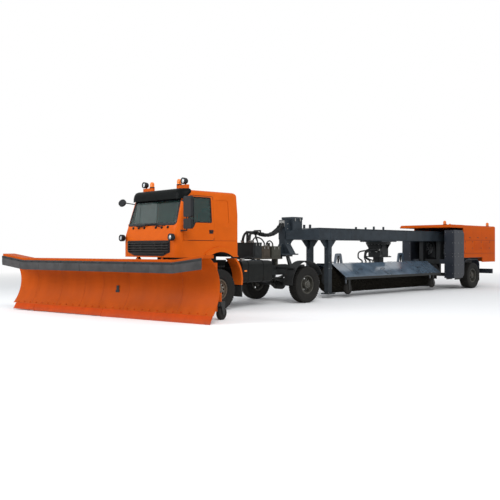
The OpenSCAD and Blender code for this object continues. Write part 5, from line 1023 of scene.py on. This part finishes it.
# Hoses on the deck: loops from box to box and a row of four up to the mast, whose y is a share of the row's.
deckHoseLook = {
    "radius": 0.021, "fitting": ((0, -0.004), (1.5, -0.004), (1.5, 0.03), (1.15, 0.035), (1.15, 0.06),
                                 (0, 0.06)),
    "mastRow": (0.17, 0.115, -0.115, -0.17),
    "mastPath": ((-2.14, 1, 1.84), (-2.15, 1, 1.95), (-2.19, 0.9, 2.08), (-2.28, 0.8, 2.165),
                 (-2.42, 0.75, 2.185), (-2.585, 0.7, 2.165)),
    "paths": (
        ((-2.10, 0.20, 1.84), (-2.10, 0.20, 1.94), (-2.18, 0.14, 2.06), (-2.24, 0.06, 2.10),
         (-2.40, 0.05, 2.12), (-2.60, 0.06, 2.14)),
        ((-2.48, 0.16, 1.74), (-2.48, 0.16, 1.86), (-2.46, 0.10, 2.00), (-2.52, 0.03, 2.08),
         (-2.605, 0.0, 2.12)),
        ((-2.85, -0.20, 1.73), (-2.84, -0.20, 1.86), (-2.74, -0.16, 2.02), (-2.66, -0.10, 2.10),
         (-2.61, -0.07, 2.13)),
        ((-2.04, 0.42, 1.84), (-2.04, 0.42, 1.93), (-2.14, 0.44, 2.0), (-2.36, 0.43, 1.96),
         (-2.50, 0.42, 1.84), (-2.52, 0.42, 1.74)),
        ((-2.62, 0.40, 1.74), (-2.64, 0.40, 1.84), (-2.74, 0.42, 1.90), (-2.86, 0.42, 1.83),
         (-2.88, 0.42, 1.73)),
        ((-1.96, 0.52, 1.30), (-1.90, 0.60, 1.34), (-1.72, 0.66, 1.40), (-1.50, 0.66, 1.40),
         (-1.30, 0.60, 1.345), (-1.25, 0.58, 1.31)))}


def makeDeckHoses():
    bm = bmesh.new()
    h = deckHoseLook
    port = [(h["radius"] * share, along) for share, along in h["fitting"]]
    paths = list(h["paths"])
    for y in h["mastRow"]:
        paths.append([(x, y * share, z) for x, share, z in h["mastPath"]])
    for path in paths:
        addSweep(bm, smoothPath(path), h["radius"], 10, 0)
        for end, other in ((path[0], path[1]), (path[-1], path[-2])):
            addLathe(bm, port, end, Vector(other) - Vector(end), 6, 1)
    makePiece("deck_hoses", bm, ["hose", "steel"], "tractor", atAxle)


# Side tanks: filler cap, step plate, strap bolts, side marker and, on the right, two reflectors.
tankLook = {"cap": ((0, 0), (0.062, 0), (0.062, 0.02), (0.07, 0.024), (0.07, 0.055), (0.055, 0.066),
                    (0, 0.068)),
            "capAt": (-1.05, 0.98, 1.318), "plate": ((-2.03, -0.88), (0.60, 1.06), (1.321, 1.327)),
            "boltX": (-1.7225, -1.1275), "boltY": 1.2085, "boltZ": (0.80, 1.22), "bolt": 0.012,
            "marker": ((-1.02, -0.93), (1.20, 1.214), (1.02, 1.062)), "reflectors": (-1.68, -1.30),
            "reflectorHalf": 0.05, "reflectorY": (-1.222, -1.208), "reflectorZ": (0.98, 1.03)}


def makeTankTrim():
    bm = bmesh.new()
    t = tankLook
    addLathe(bm, t["cap"], t["capAt"], (0, 0, 1), 28, 1)
    addBox(bm, *t["plate"], 2)
    for x in t["boltX"]:
        for z in t["boltZ"]:
            addBolt(bm, (x, t["boltY"], z), (0, 1, 0), t["bolt"], 0)
    addBox(bm, *t["marker"], 3)
    for x in t["reflectors"]:
        addBox(bm, (x - t["reflectorHalf"], x + t["reflectorHalf"]), t["reflectorY"], t["reflectorZ"], 1)
    makePiece("tank_trim", bm, ["black", "steel", "frame", "amber"], "tractor", atAxle,
              bevel=0.003)


makeDeck()
makeDeckHoses()
makeTankTrim()
paintFaces("deck_equipment", "black", atAxle, lambda c: c.x > -2.34 or c.z > 1.99)
paintFaces("deck_equipment", "brown", atAxle, lambda c: -2.735 < c.x < -2.34 and c.z < 1.99)
paintFaces("side_tanks", "tank", atAxle, lambda c: True)
print("deck dressed")


# Hoses over the fifth wheel: two bundles in an arc from the tractor to the trailer.
hoseLook = {"from": (-2.6443, 2.162), "to": (-3.7397, 2.460), "radius": 0.9, "middles": (0.06, -0.06),
            "strands": 4, "strand": 0.0225, "ring": 0.033, "twist": 0.8, "steps": 36,
            "clampAt": (5, 12, 19, 26, 32),
            "clamp": ((0.052, -0.016), (0.058, -0.014), (0.058, 0.014), (0.052, 0.016))}


def makeUmbilical():
    bm = bmesh.new()
    h = hoseLook
    a, b = Vector(h["from"]), Vector(h["to"])
    chord = b - a
    up = Vector((-chord.y, chord.x)).normalized()
    if up.y < 0:
        up = -up
    centre = (a + b) / 2 + up * math.sqrt(h["radius"] ** 2 - chord.length ** 2 / 4)
    first, last = [math.atan2(p.y - centre.y, p.x - centre.x) for p in (a, b)]
    turns = [first + (last - first) * i / h["steps"] for i in range(h["steps"] + 1)]
    for middle in h["middles"]:
        for k in range(h["strands"]):
            points = []
            for i, t in enumerate(turns):
                w = 2 * math.pi * (k / h["strands"] + h["twist"] * i / h["steps"])
                out, y = h["radius"] + h["ring"] * math.cos(w), middle + h["ring"] * math.sin(w)
                points.append(Vector((centre.x + out * math.cos(t), y, centre.y + out * math.sin(t))))
            points[0].x = min(points[0].x, a.x)
            points[-1].x = max(points[-1].x, b.x)
            addSweep(bm, points, h["strand"], 10, 0)
        for i in h["clampAt"]:
            c, s = math.cos(turns[i]), math.sin(turns[i])
            at = (centre.x + h["radius"] * c, middle, centre.y + h["radius"] * s)
            addLathe(bm, h["clamp"], at, (-s, 0, c), 20, 1)
    piece = makePiece("umbilical_bundle", bm, ["hose", "black"], None, atAxle,
                      hides=("umbilical_hoses",))
    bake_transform(piece)


makeUmbilical()


# Trailer frame: weld seams, pipes along the beams, bolts, crank of the left leg, box lid and column plate.
frameLook = {"beamOut": 0.490, "beamIn": 0.310, "beamLow": 1.950, "beamTop": 2.350, "welds": 7,
             "weldStart": -1.9, "weldStep": 1.15, "weldHalf": 0.005, "pipe": 0.014, "pipeX": (-1.5, -8.95),
             "pipeZ": (2.06, 2.11), "clamps": 6, "clampStart": -2.2, "clampStep": 1.3, "clampHalf": 0.03,
             "clampZ": (2.035, 2.135), "ringBolts": 8, "ringStart": -5.77, "ringStep": 0.12, "ringY": 0.46,
             "legX": -1.88, "legY": 0.40, "footZ": 0.170, "footBolts": (-0.12, 0.12),
             "legPlate": ((-1.975, -1.785), (0.488, 0.496), (0.95, 1.25)), "plateX": (-1.95, -1.81),
             "plateZ": (1.0, 1.2), "bolt": 0.014, "footBolt": 0.016, "plateBolt": 0.012,
             # rods of the crank, as y and z of both ends, radius and sides
             "crank": ((0.49, 1.42, 0.56, 1.42, 0.022, 12), (0.55, 1.42, 0.55, 1.20, 0.012, 10),
                       (0.545, 1.205, 0.64, 1.205, 0.014, 10)),
             "lid": ((-0.775, -0.285), (-0.245, 0.245), (2.600, 2.682)), "latchX": (-0.66, -0.42),
             "latchWidth": 0.04, "latchY": (0.243, 0.258), "latchZ": (2.55, 2.64),
             "column": ((-0.044, -0.022), (-0.122, 0.122), (2.36, 2.56)), "columnBolt": (-0.17, 0.130),
             "columnZ": (1.82, 1.98, 2.14, 2.30, 2.46)}


def makeFrameTrim():
    bm = bmesh.new()
    f = frameLook
    out, inner, low, top = [f[k] for k in ("beamOut", "beamIn", "beamLow", "beamTop")]
    for s in sides:
        for k in range(f["welds"]):
            x = f["weldStart"] - k * f["weldStep"]
            weld = (x - f["weldHalf"], x + f["weldHalf"])
            addBox(bm, weld, span(s, out - 0.001, out + 0.004), (low + 0.024, top - 0.024), 0)
        for z in f["pipeZ"]:
            start, end = [(x, s * (inner - 0.03), z) for x in f["pipeX"]]
            addRod(bm, start, end, f["pipe"], 10, 1)
        for k in range(f["clamps"]):
            x = f["clampStart"] - k * f["clampStep"]
            clamp = (x - f["clampHalf"], x + f["clampHalf"])
            addBox(bm, clamp, span(s, inner - 0.055, inner + 0.002), f["clampZ"], 2)
        for k in range(f["ringBolts"]):
            at = (f["ringStart"] + f["ringStep"] * k, s * f["ringY"], low - 0.040)
            addBolt(bm, at, (0, 0, -1), f["bolt"], 2)
        for dx in f["footBolts"]:
            for dy in f["footBolts"]:
                at = (f["legX"] + dx, s * f["legY"] + dy, f["footZ"])
                addBolt(bm, at, (0, 0, 1), f["footBolt"], 2)
        x, y, z = f["legPlate"]
        addBox(bm, x, span(s, *y), z, 0)
        for z in f["plateZ"]:
            for x in f["plateX"]:
                addBolt(bm, (x, s * y[1], z), (0, s, 0), f["plateBolt"], 2)
    for y0, z0, y1, z1, radius, steps in f["crank"]:
        addRod(bm, (f["legX"], y0, z0), (f["legX"], y1, z1), radius, steps, 2)
    addBox(bm, *f["lid"], 0)
    for x in f["latchX"]:
        for s in sides:
            addBox(bm, (x, x + f["latchWidth"]), span(s, *f["latchY"]), f["latchZ"], 2)
    addBox(bm, *f["column"], 2)
    x, y = f["columnBolt"]
    for s in sides:
        for z in f["columnZ"]:
            addBolt(bm, (x, s * y, z), (0, s, 0), f["bolt"], 2)
    makePiece("trailer_frame_trim", bm, ["frame", "black", "steel"], "trailer", atKingpin,
              bevel=0.002)


makeFrameTrim()
# The frame's faces under the beams from 8 m behind the kingpin are painted black: painted shade.
paintFaces("trailer_frame", "black", atKingpin, lambda c: c.x < -8.0 and c.z < 1.94)


# Brush: core tube and rows of bristle tufts on a slow helix.
brushLook = {"length": 6.1, "radius": 0.455, "core": 0.150, "stub": 0.04, "stubLong": 0.058, "rings": 110,
             "tufts": 72, "helix": 0.35, "tuftWidth": 0.016, "sway": 0.03, "ragged": 0.026, "lean": 0.015}


def makeBrush():
    bm = bmesh.new()
    b = brushLook
    z = jointAt("brush_spin").z
    half, core, stub, w = b["length"] / 2, b["core"], b["stub"], b["tuftWidth"]
    end = half + b["stubLong"]
    tube = [(0, -end), (stub, -end), (stub, -half - 0.002), (core, -half), (core, half), (stub, half + 0.002),
            (stub, end), (0, end)]
    addLathe(bm, tube, (0, 0, z), (1, 0, 0), 24, 1)
    rng = random.Random(4)
    along = Vector((1, 0, 0))
    corners = ((-1, -1), (1, -1), (1, 1), (-1, 1))
    for i in range(b["rings"]):
        middle = Vector((-half + b["length"] * (i + 0.5) / b["rings"], 0, z))
        for k in range(b["tufts"]):
            sway = rng.uniform(-b["sway"], b["sway"])
            a = 2 * math.pi * (k / b["tufts"] + b["helix"] * i / b["rings"]) + sway
            reach = b["radius"] - rng.uniform(0, b["ragged"])
            lean = rng.uniform(-b["lean"], b["lean"])
            out = Vector((0, math.cos(a), math.sin(a)))
            turn = Vector((0, -math.sin(a), math.cos(a)))
            root = [along * sx * w * 0.8 + turn * sy * w * 0.35 for sx, sy in corners]
            tip = [along * (sx * w * 1.7 + lean) + turn * sy * w * 0.7 for sx, sy in corners]
            foot, head = middle + out * (core - 0.004), middle + out * reach
            addPrism(bm, [foot + p for p in root], [head + p for p in tip], 0)
    makePiece("brush_bristles", bm, ["bristle", "black"], "brush", atBrush, sharp=30,
              hides=("brush_rotor",))


# Brush hood: seams over its slope, a folded lip, grab handles and spring struts in the towers.
hoodLook = {"outline": ((-0.640, 1.010), (-0.420, 1.145), (0.230, 1.145), (0.860, 0.690)),
            "seams": (-2.44, -1.22, 0.0, 1.22, 2.44), "seamHalf": 0.02, "seamRise": 0.006,
            "lip": ((-3.06, 3.06), (0.850, 0.872), (0.612, 0.700)), "handles": (-1.9, 0.55, 1.9),
            "handleY": 0.56,
            # points of a handle, as shift along x and height over the slope
            "handle": ((-0.11, 0), (-0.10, 0.05), (0.10, 0.055), (0.11, 0)), "handleRadius": 0.010,
            "strut": (2.0, -0.33, 1.15), "strutLong": 0.25, "strutRadius": 0.028, "coils": 7,
            "coilStart": 0.012, "coilStep": 0.03,
            "coil": ((0.028, 0.0), (0.045, 0.007), (0.045, 0.017), (0.028, 0.024))}


def makeBrushHoodTrim():
    bm = bmesh.new()
    h = hoodLook
    outline, wide = h["outline"], h["seamHalf"]
    for x in h["seams"]:
        for (y0, z0), (y1, z1) in zip(outline, outline[1:]):
            n = Vector((0, z0 - z1, y1 - y0)).normalized() * h["seamRise"]
            ends = []
            for y, z in ((y0, z0), (y1, z1)):
                ends.append([(x - wide, y, z), (x + wide, y, z), (x + wide, y + n.y, z + n.z),
                             (x - wide, y + n.y, z + n.z)])
            addPrism(bm, *ends, 0)
    addBox(bm, *h["lip"], 1)
    (y0, z0), (y1, z1) = outline[2:]
    normal = Vector((0, z0 - z1, y1 - y0)).normalized()
    for x in h["handles"]:
        foot = Vector((x, h["handleY"], z0 - (h["handleY"] - y0) * (z0 - z1) / (y1 - y0)))
        path = [foot + normal * rise + Vector((shift, 0, 0)) for shift, rise in h["handle"]]
        addSweep(bm, path, h["handleRadius"], 8, 1)
    x, y, z = h["strut"]
    for s in sides:
        foot = Vector((s * x, y, z))
        for k in range(h["coils"]):
            at = foot + Vector((0, 0, h["coilStart"] + h["coilStep"] * k))
            addLathe(bm, h["coil"], at, (0, 0, 1), 18, 1)
        addRod(bm, foot, foot + Vector((0, 0, h["strutLong"])), h["strutRadius"], 12, 1)
    makePiece("brush_hood_trim", bm, ["hood", "black"], "brush_frame", atBrush, bevel=0.002)


# Hydraulic loops that hang between the turntable and the brush hood, with a fitting at each end.
loopLook = {"offsets": (0.24, 0.13, -0.02, -0.16), "radius": 0.026, "reach": (1.12, 0.98, 0.84, 1.04),
            "fitting": 0.038, "topX": 0.266, "topZ": 1.60, "topStep": 0.05, "endX": 0.54, "endStep": 0.10,
            "endZ": 1.146}


def makeBrushLoops():
    bm = bmesh.new()
    h = loopLook
    r = h["fitting"]
    port = [(0, -0.002), (r, -0.002), (r, 0.03), (r * 0.8, 0.036), (r * 0.8, 0.06), (0, 0.06)]
    for i, (y, reach) in enumerate(zip(h["offsets"], h["reach"])):
        top = Vector((h["topX"], y, h["topZ"] - h["topStep"] * (i % 2)))
        end = Vector((h["endX"] + h["endStep"] * i, y * 0.7 - 0.02, h["endZ"]))
        path = [top, top + Vector((0.10, 0, 0.035)), Vector((reach - 0.10, y * 1.05, top.z - 0.015)),
                Vector((reach, y, (top.z + end.z) / 2)),
                Vector((reach * 0.5 + end.x * 0.5 + 0.03, y * 0.85, end.z + 0.12)),
                end + Vector((0.01, 0, 0.07)), end]
        addSweep(bm, smoothPath(path), h["radius"], 12, 0)
        addLathe(bm, port, end, (0, 0, 1), 6, 1)
        addLathe(bm, port, top, (1, 0, 0), 6, 1)
    piece = makePiece("brush_hose_loops", bm, ["hose", "steel"], None, atBrush)
    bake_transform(piece)


# Turntable: bolts of its ring and foot, side plates and gusset ribs up to the ring.
tableLook = {"bolts": 20, "boltRing": 0.42, "boltZ": 1.820, "bolt": 0.014, "footX": (-0.30, 0.30),
             "footY": 0.30, "footZ": 1.370, "footBolt": 0.018,
             "plate": ((-0.15, 0.15), (0.264, 0.285), (1.45, 1.56)), "ribX": (-0.2, 0.2), "ribHalf": 0.008,
             "rib": ((0.264, 1.62), (0.40, 1.819), (0.264, 1.819))}


def makeTableTrim():
    bm = bmesh.new()
    t = tableLook
    for k in range(t["bolts"]):
        a = 2 * math.pi * k / t["bolts"]
        at = (math.cos(a) * t["boltRing"], math.sin(a) * t["boltRing"], t["boltZ"])
        addBolt(bm, at, (0, 0, -1), t["bolt"], 1)
    for s in sides:
        for x in t["footX"]:
            addBolt(bm, (x, s * t["footY"], t["footZ"]), (0, 0, 1), t["footBolt"], 1)
        x, y, z = t["plate"]
        addBox(bm, x, span(s, *y), z, 0)
        rib = [(s * y, z) for y, z in t["rib"]]
        for x in t["ribX"]:
            addBarX(bm, rib, (x - t["ribHalf"], x + t["ribHalf"]), 0)
    makePiece("brush_table_trim", bm, ["black", "steel"], "brush_table", atBrush, bevel=0.002)


# The hood's faces below 0.615 m and its end plates are painted black: painted shade under the hood and at its
# ends.
paintFaces("brush_hood", "black", atBrush, lambda c: c.z < 0.615 or (abs(c.x) > 3.0))
makeBrush()
makeBrushHoodTrim()
makeBrushLoops()
makeTableTrim()
print("brush dressed")


# Engine hood: seams, louvres, latches and handles, dark strips under the belts as painted shade, with plate,
# lamps, beacon rings and exhaust.
unitLook = {"half": 1.160, "seams": (-1.62, -0.86, -0.10, 0.52), "seamHalf": 0.004, "seamDeep": 0.002,
            # stretches of an upright seam, as low, high and rise over the panel
            "stretches": ((1.30, 1.458, 0.0), (1.462, 1.548, 0.016), (1.552, 2.008, 0.0),
                          (2.012, 2.228, 0.016), (2.232, 2.58, 0.0)),
            # heights of the dark strips under the belts, which are painted shade, and their span in x
            "belts": ((1.444, 1.459), (1.994, 2.009)), "beltX": (-2.09, 0.70), "louvres": 9,
            "louvreX": (-1.50, -0.74), "louvreLong": 0.52, "louvreFoot": 1.62, "louvreStep": 0.038,
            "louvre": (0.014, 0.03), "latchX": (0.03, 0.08), "latchZ": (1.66, 1.92), "latchHigh": 0.026,
            "handles": (-1.24, -0.48, 0.20), "handleHalf": 0.06, "handleZ": (2.10, 2.122)}
wallLook = {"x": -2.100, "seams": (-0.58, 0.0, 0.58), "seamZ": (1.30, 2.56), "vents": 11,
            "ventY": (-0.50, 0.08), "ventLong": 0.42, "ventFoot": 1.70, "ventStep": 0.05,
            "plate": ((-2.112, -2.099), (-0.27, 0.27), (1.14, 1.26)), "lampX": -2.099, "lampZ": 1.18,
            "redY": 0.98, "red": ((0.07, 0.0), (0.07, 0.02), (0.055, 0.028), (0, 0.03)), "amberY": 0.80,
            "amber": ((0.05, 0.0), (0.05, 0.02), (0.04, 0.026), (0, 0.028)), "beacon": (-1.9, 0.9, 2.6203),
            "frontBeacon": (1.4, 0.7, 2.6203), "exhaustAt": (-0.9, -0.55, 2.62),
            "exhaust": ((0.062, -0.01), (0.062, 0.10), (0.058, 0.12), (0.05, 0.12), (0.05, 0.02), (0, 0.02))}


def addHoodSide(bm, s):
    u = unitLook
    y, deep = u["half"], u["seamDeep"]
    for x in u["seams"]:
        for low, high, rise in u["stretches"]:
            seam = span(s, y + rise - deep, y + rise + deep)
            addBox(bm, (x - u["seamHalf"], x + u["seamHalf"]), seam, (low, high), 0)
    # A dark strip right under each belt is painted shade.
    for belt in u["belts"]:
        addBox(bm, u["beltX"], span(s, y - deep, y + deep), belt, 0)
    out, high = u["louvre"]
    for k in range(u["louvres"]):
        z = u["louvreFoot"] + u["louvreStep"] * k
        tri = [(s * (y - 0.001), z), (s * (y + out), z), (s * (y - 0.001), z + high)]
        for x in u["louvreX"]:
            addBarX(bm, tri, (x, x + u["louvreLong"]), 1)
    for x in u["seams"]:
        for z in u["latchZ"]:
            latch = (x + u["latchX"][0], x + u["latchX"][1])
            addBox(bm, latch, span(s, y - 0.001, y + 0.014), (z, z + u["latchHigh"]), 5)
    for x in u["handles"]:
        addBox(bm, (x - u["handleHalf"], x + u["handleHalf"]), span(s, y + 0.014, y + 0.030), u["handleZ"], 5)


def makeHoodTrim():
    bm = bmesh.new()
    w = wallLook
    for s in sides:
        addHoodSide(bm, s)
    for y in w["seams"]:
        addBox(bm, (w["x"] - 0.002, w["x"] + 0.002), (y - 0.004, y + 0.004), w["seamZ"], 0)
    for k in range(w["vents"]):
        z = w["ventFoot"] + w["ventStep"] * k
        tri = [(w["x"] + 0.001, z), (w["x"] - 0.016, z), (w["x"] + 0.001, z + 0.04)]
        for y in w["ventY"]:
            addPrism(bm, [(x, y, h) for x, h in tri], [(x, y + w["ventLong"], h) for x, h in tri], 1)
    addBox(bm, *w["plate"], 2)
    x, y, z = w["beacon"]
    for s in sides:
        addLathe(bm, w["red"], (w["lampX"], s * w["redY"], w["lampZ"]), (-1, 0, 0), 24, 3)
        addLathe(bm, w["amber"], (w["lampX"], s * w["amberY"], w["lampZ"]), (-1, 0, 0), 24, 4)
        addLathe(bm, beaconRing, (x, s * y, z), (0, 0, 1), 28, 5)
    addLathe(bm, beaconRing, w["frontBeacon"], (0, 0, 1), 28, 5)
    addLathe(bm, w["exhaust"], w["exhaustAt"], (0, 0, 1), 28, 5)
    keys = ["seam", "hoodOrange", "pale", "red", "amber", "black"]
    makePiece("engine_hood_trim", bm, keys, "trailer", atTail, bevel=0.002)


# Blower ducts: bolted cover plates on the outer side and the front, rubber lips round the slot and mud flaps.
ductLook = {"covers": ((0.62, 1.36), (1.42, 2.34)), "sideX": (0.90, 1.54), "sideY": (1.199, 1.206),
            "sideBolts": (0.93, 1.22, 1.51), "frontX": (1.569, 1.576), "frontY": (0.81, 1.17),
            "frontBolts": (0.835, 1.145), "bolt": 0.010, "boltEdge": 0.03, "lipX": (0.99, 1.45),
            "lips": ((0.800, 0.816), (1.164, 1.180)), "lipZ": (0.40, 0.462), "flapX": (-0.672, -0.660),
            "flapY": (0.86, 1.15), "flapZ": (0.30, 0.66)}


def makeDuctTrim():
    bm = bmesh.new()
    d = ductLook
    for s in sides:
        for low, high in d["covers"]:
            rows = (low + d["boltEdge"], (low + high) / 2, high - d["boltEdge"])
            addBox(bm, d["sideX"], span(s, *d["sideY"]), (low, high), 0)
            for x in d["sideBolts"]:
                for z in rows:
                    addBolt(bm, (x, s * d["sideY"][1], z), (0, s, 0), d["bolt"], 1)
            addBox(bm, d["frontX"], span(s, *d["frontY"]), (low, high), 0)
            for y in d["frontBolts"]:
                for z in rows:
                    addBolt(bm, (d["frontX"][1], s * y, z), (1, 0, 0), d["bolt"], 1)
        for y in d["lips"]:
            addBox(bm, d["lipX"], span(s, *y), d["lipZ"], 2)
        addBox(bm, d["flapX"], span(s, *d["flapY"]), d["flapZ"], 2)
    makePiece("duct_trim", bm, ["duct", "steel", "rubber"], "trailer", atTail, bevel=0.002)


# Blower fans: hub, leaning blades and a guard. A blade's end is radius, half width and lean.
fanLook = {"at": (0.822, 0.39, 1.655), "blades": 9, "root": (0.06, 0.035, 0.03), "tip": (0.255, 0.075, 0.012),
           "faces": (0.006, 0.011),
           "hub": ((0, 0.0), (0.075, 0.0), (0.075, 0.04), (0.05, 0.062), (0, 0.068)),
           "rings": (0.11, 0.19, 0.27), "ringHalf": 0.005, "ringX": (0.078, 0.088), "spokes": 3,
           "spokeLong": 0.272, "spokeX": 0.083, "spoke": 0.006}


def makeFans():
    bm = bmesh.new()
    f = fanLook
    x, y, z = f["at"]
    (near, far), half = f["ringX"], f["ringHalf"]
    fore = Vector((f["spokeX"], 0, 0))
    for s in sides:
        at = Vector((x, s * y, z))
        addLathe(bm, f["hub"], at, (1, 0, 0), 28, 0)
        for k in range(f["blades"]):
            a = 2 * math.pi * k / f["blades"]
            u = Vector((0, math.cos(a), math.sin(a)))
            v = Vector((0, -math.sin(a), math.cos(a)))
            ends = []
            for r, w, lean in (f["root"], f["tip"]):
                back, front = f["faces"]
                corners = ((w, back), (-w, back + lean), (-w, front + lean), (w, front))
                ends.append([at + u * r + v * wide + Vector((deep, 0, 0)) for wide, deep in corners])
            addPrism(bm, *ends, 0)
        for r in f["rings"]:
            inner, outer = r - half, r + half
            ring = [(inner, near), (outer, near), (outer, far), (inner, far), (inner, near)]
            addLathe(bm, ring, at, (1, 0, 0), 40, 1)
        for k in range(f["spokes"]):
            a = math.pi * k / f["spokes"]
            u = Vector((0, math.cos(a), math.sin(a))) * f["spokeLong"]
            addRod(bm, at + u + fore, at - u + fore, f["spoke"], 8, 1)
    makePiece("blower_fans", bm, ["fan", "black"], "trailer", atTail)


makeHoodTrim()
makeDuctTrim()
makeFans()
paintFaces("trailer_lamps", "amber", atTail, lambda c: c.z > 2.5)
print("rear unit dressed")


# Camera, light and floor.
cameraLook = {"lens": 47.58, "sensor": 36.0, "place": (11.777, 14.538, 1.698),
              "look": (-0.6959, -0.7181, 0.0), "shiftY": -0.0051, "far": 400.0}
camera = bpy.data.cameras.new("camera")
camera.lens = cameraLook["lens"]
camera.sensor_width = cameraLook["sensor"]
camera.shift_y = cameraLook["shiftY"]
camera.clip_end = cameraLook["far"]
view = bpy.data.objects.new("camera", camera)
view.location = atAxle @ Vector(cameraLook["place"])
view.rotation_mode = "QUATERNION"
view.rotation_quaternion = Vector(cameraLook["look"]).to_track_quat("-Z", "Y")
bpy.context.scene.collection.objects.link(view)
bpy.context.scene.camera = view


def addArea(name, at, target, size, power, color=(1, 1, 1)):
    data = bpy.data.lights.new(name, "AREA")
    data.shape = "DISK"
    data.size = size
    data.energy = power
    data.color = color
    obj = bpy.data.objects.new(name, data)
    obj.location = at
    obj.rotation_mode = "QUATERNION"
    obj.rotation_quaternion = (Vector(target) - Vector(at)).to_track_quat("-Z", "Y")
    bpy.context.scene.collection.objects.link(obj)


# One for rays that come from the camera, a mirror or a pane, so that these see the white studio.
def seenRays(tree):
    rays = addNode(tree, "LightPath")
    last = rays.outputs["Is Camera Ray"]
    for name in ("Is Glossy Ray", "Is Transmission Ray"):
        last = addMath(tree, "ADD", last, rays.outputs[name], True)
    return last


# One shader over another, by a share, to the tree's output.
def mixShaders(tree, share, first, second, output):
    mix = addNode(tree, "MixShader")
    for i, socket in enumerate((share, first, second)):
        tree.links.new(socket, mix.inputs[i])
    link(tree, mix, "Shader", tree.nodes[output], "Surface")


lightLook = {"world": 0.60, "sky": (0.93, 0.96, 1.0, 1), "key": 2300.0, "fill": 1900.0,
             "fillColor": (0.95, 0.98, 1.0), "rear": 700.0}
addArea("key", (frontX + 6, 13, 15), (frontX - 3, 0, 1), 11, lightLook["key"])
addArea("fill", (frontX + 16, -6, 8), (frontX, 0, 1), 9, lightLook["fill"], lightLook["fillColor"])
addArea("rear", (kingpinX - 20, 8, 12), (kingpinX - 8, 0, 1), 10, lightLook["rear"])

world = bpy.data.worlds.new("studio")
bpy.context.scene.world = world
world.use_nodes = True
tree = world.node_tree
sky = tree.nodes["Background"]
sky.inputs["Color"].default_value = lightLook["sky"]
sky.inputs["Strength"].default_value = lightLook["world"]
pale = addNode(tree, "Background", {"Color": (1, 1, 1, 1)})
mixShaders(tree, seenRays(tree), sky.outputs["Background"], pale.outputs["Background"], "World Output")

# The floor turns white for the camera away from the machine.
floorLook = {"size": 120.0, "color": (0.86, 0.86, 0.86, 1), "rough": 0.9, "fadeFrom": 13.0, "fadeTo": 30.0,
             "sink": -0.002}
floorMat = bpy.data.materials.new("studioFloor")
floorMat.use_nodes = True
tree = floorMat.node_tree
shader = tree.nodes["Principled BSDF"]
shader.inputs["Base Color"].default_value = floorLook["color"]
shader.inputs["Roughness"].default_value = floorLook["rough"]
spot = addNode(tree, "TexCoord")
reach = addNode(tree, "VectorMath")
reach.operation = "LENGTH"
link(tree, spot, "Object", reach, "Vector")
fade = addNode(tree, "MapRange", {"From Min": floorLook["fadeFrom"], "From Max": floorLook["fadeTo"]})
link(tree, reach, "Value", fade, "Value")
white = addNode(tree, "Emission", {"Color": (1, 1, 1, 1)})
share = addMath(tree, "MULTIPLY", fade.outputs["Result"], seenRays(tree))
mixShaders(tree, share, shader.outputs["BSDF"], white.outputs["Emission"], "Material Output")
bm = bmesh.new()
bmesh.ops.create_grid(bm, x_segments=1, y_segments=1, size=floorLook["size"])
mesh = bpy.data.meshes.new("floor")
bm.to_mesh(mesh)
bm.free()
mesh.materials.append(floorMat)
floor = bpy.data.objects.new("floor", mesh)
floor.location = (kingpinX, rowY, floorLook["sink"])
bpy.context.scene.collection.objects.link(floor)
bpy.context.scene.view_settings.view_transform = "Standard"
print("camera and light set")
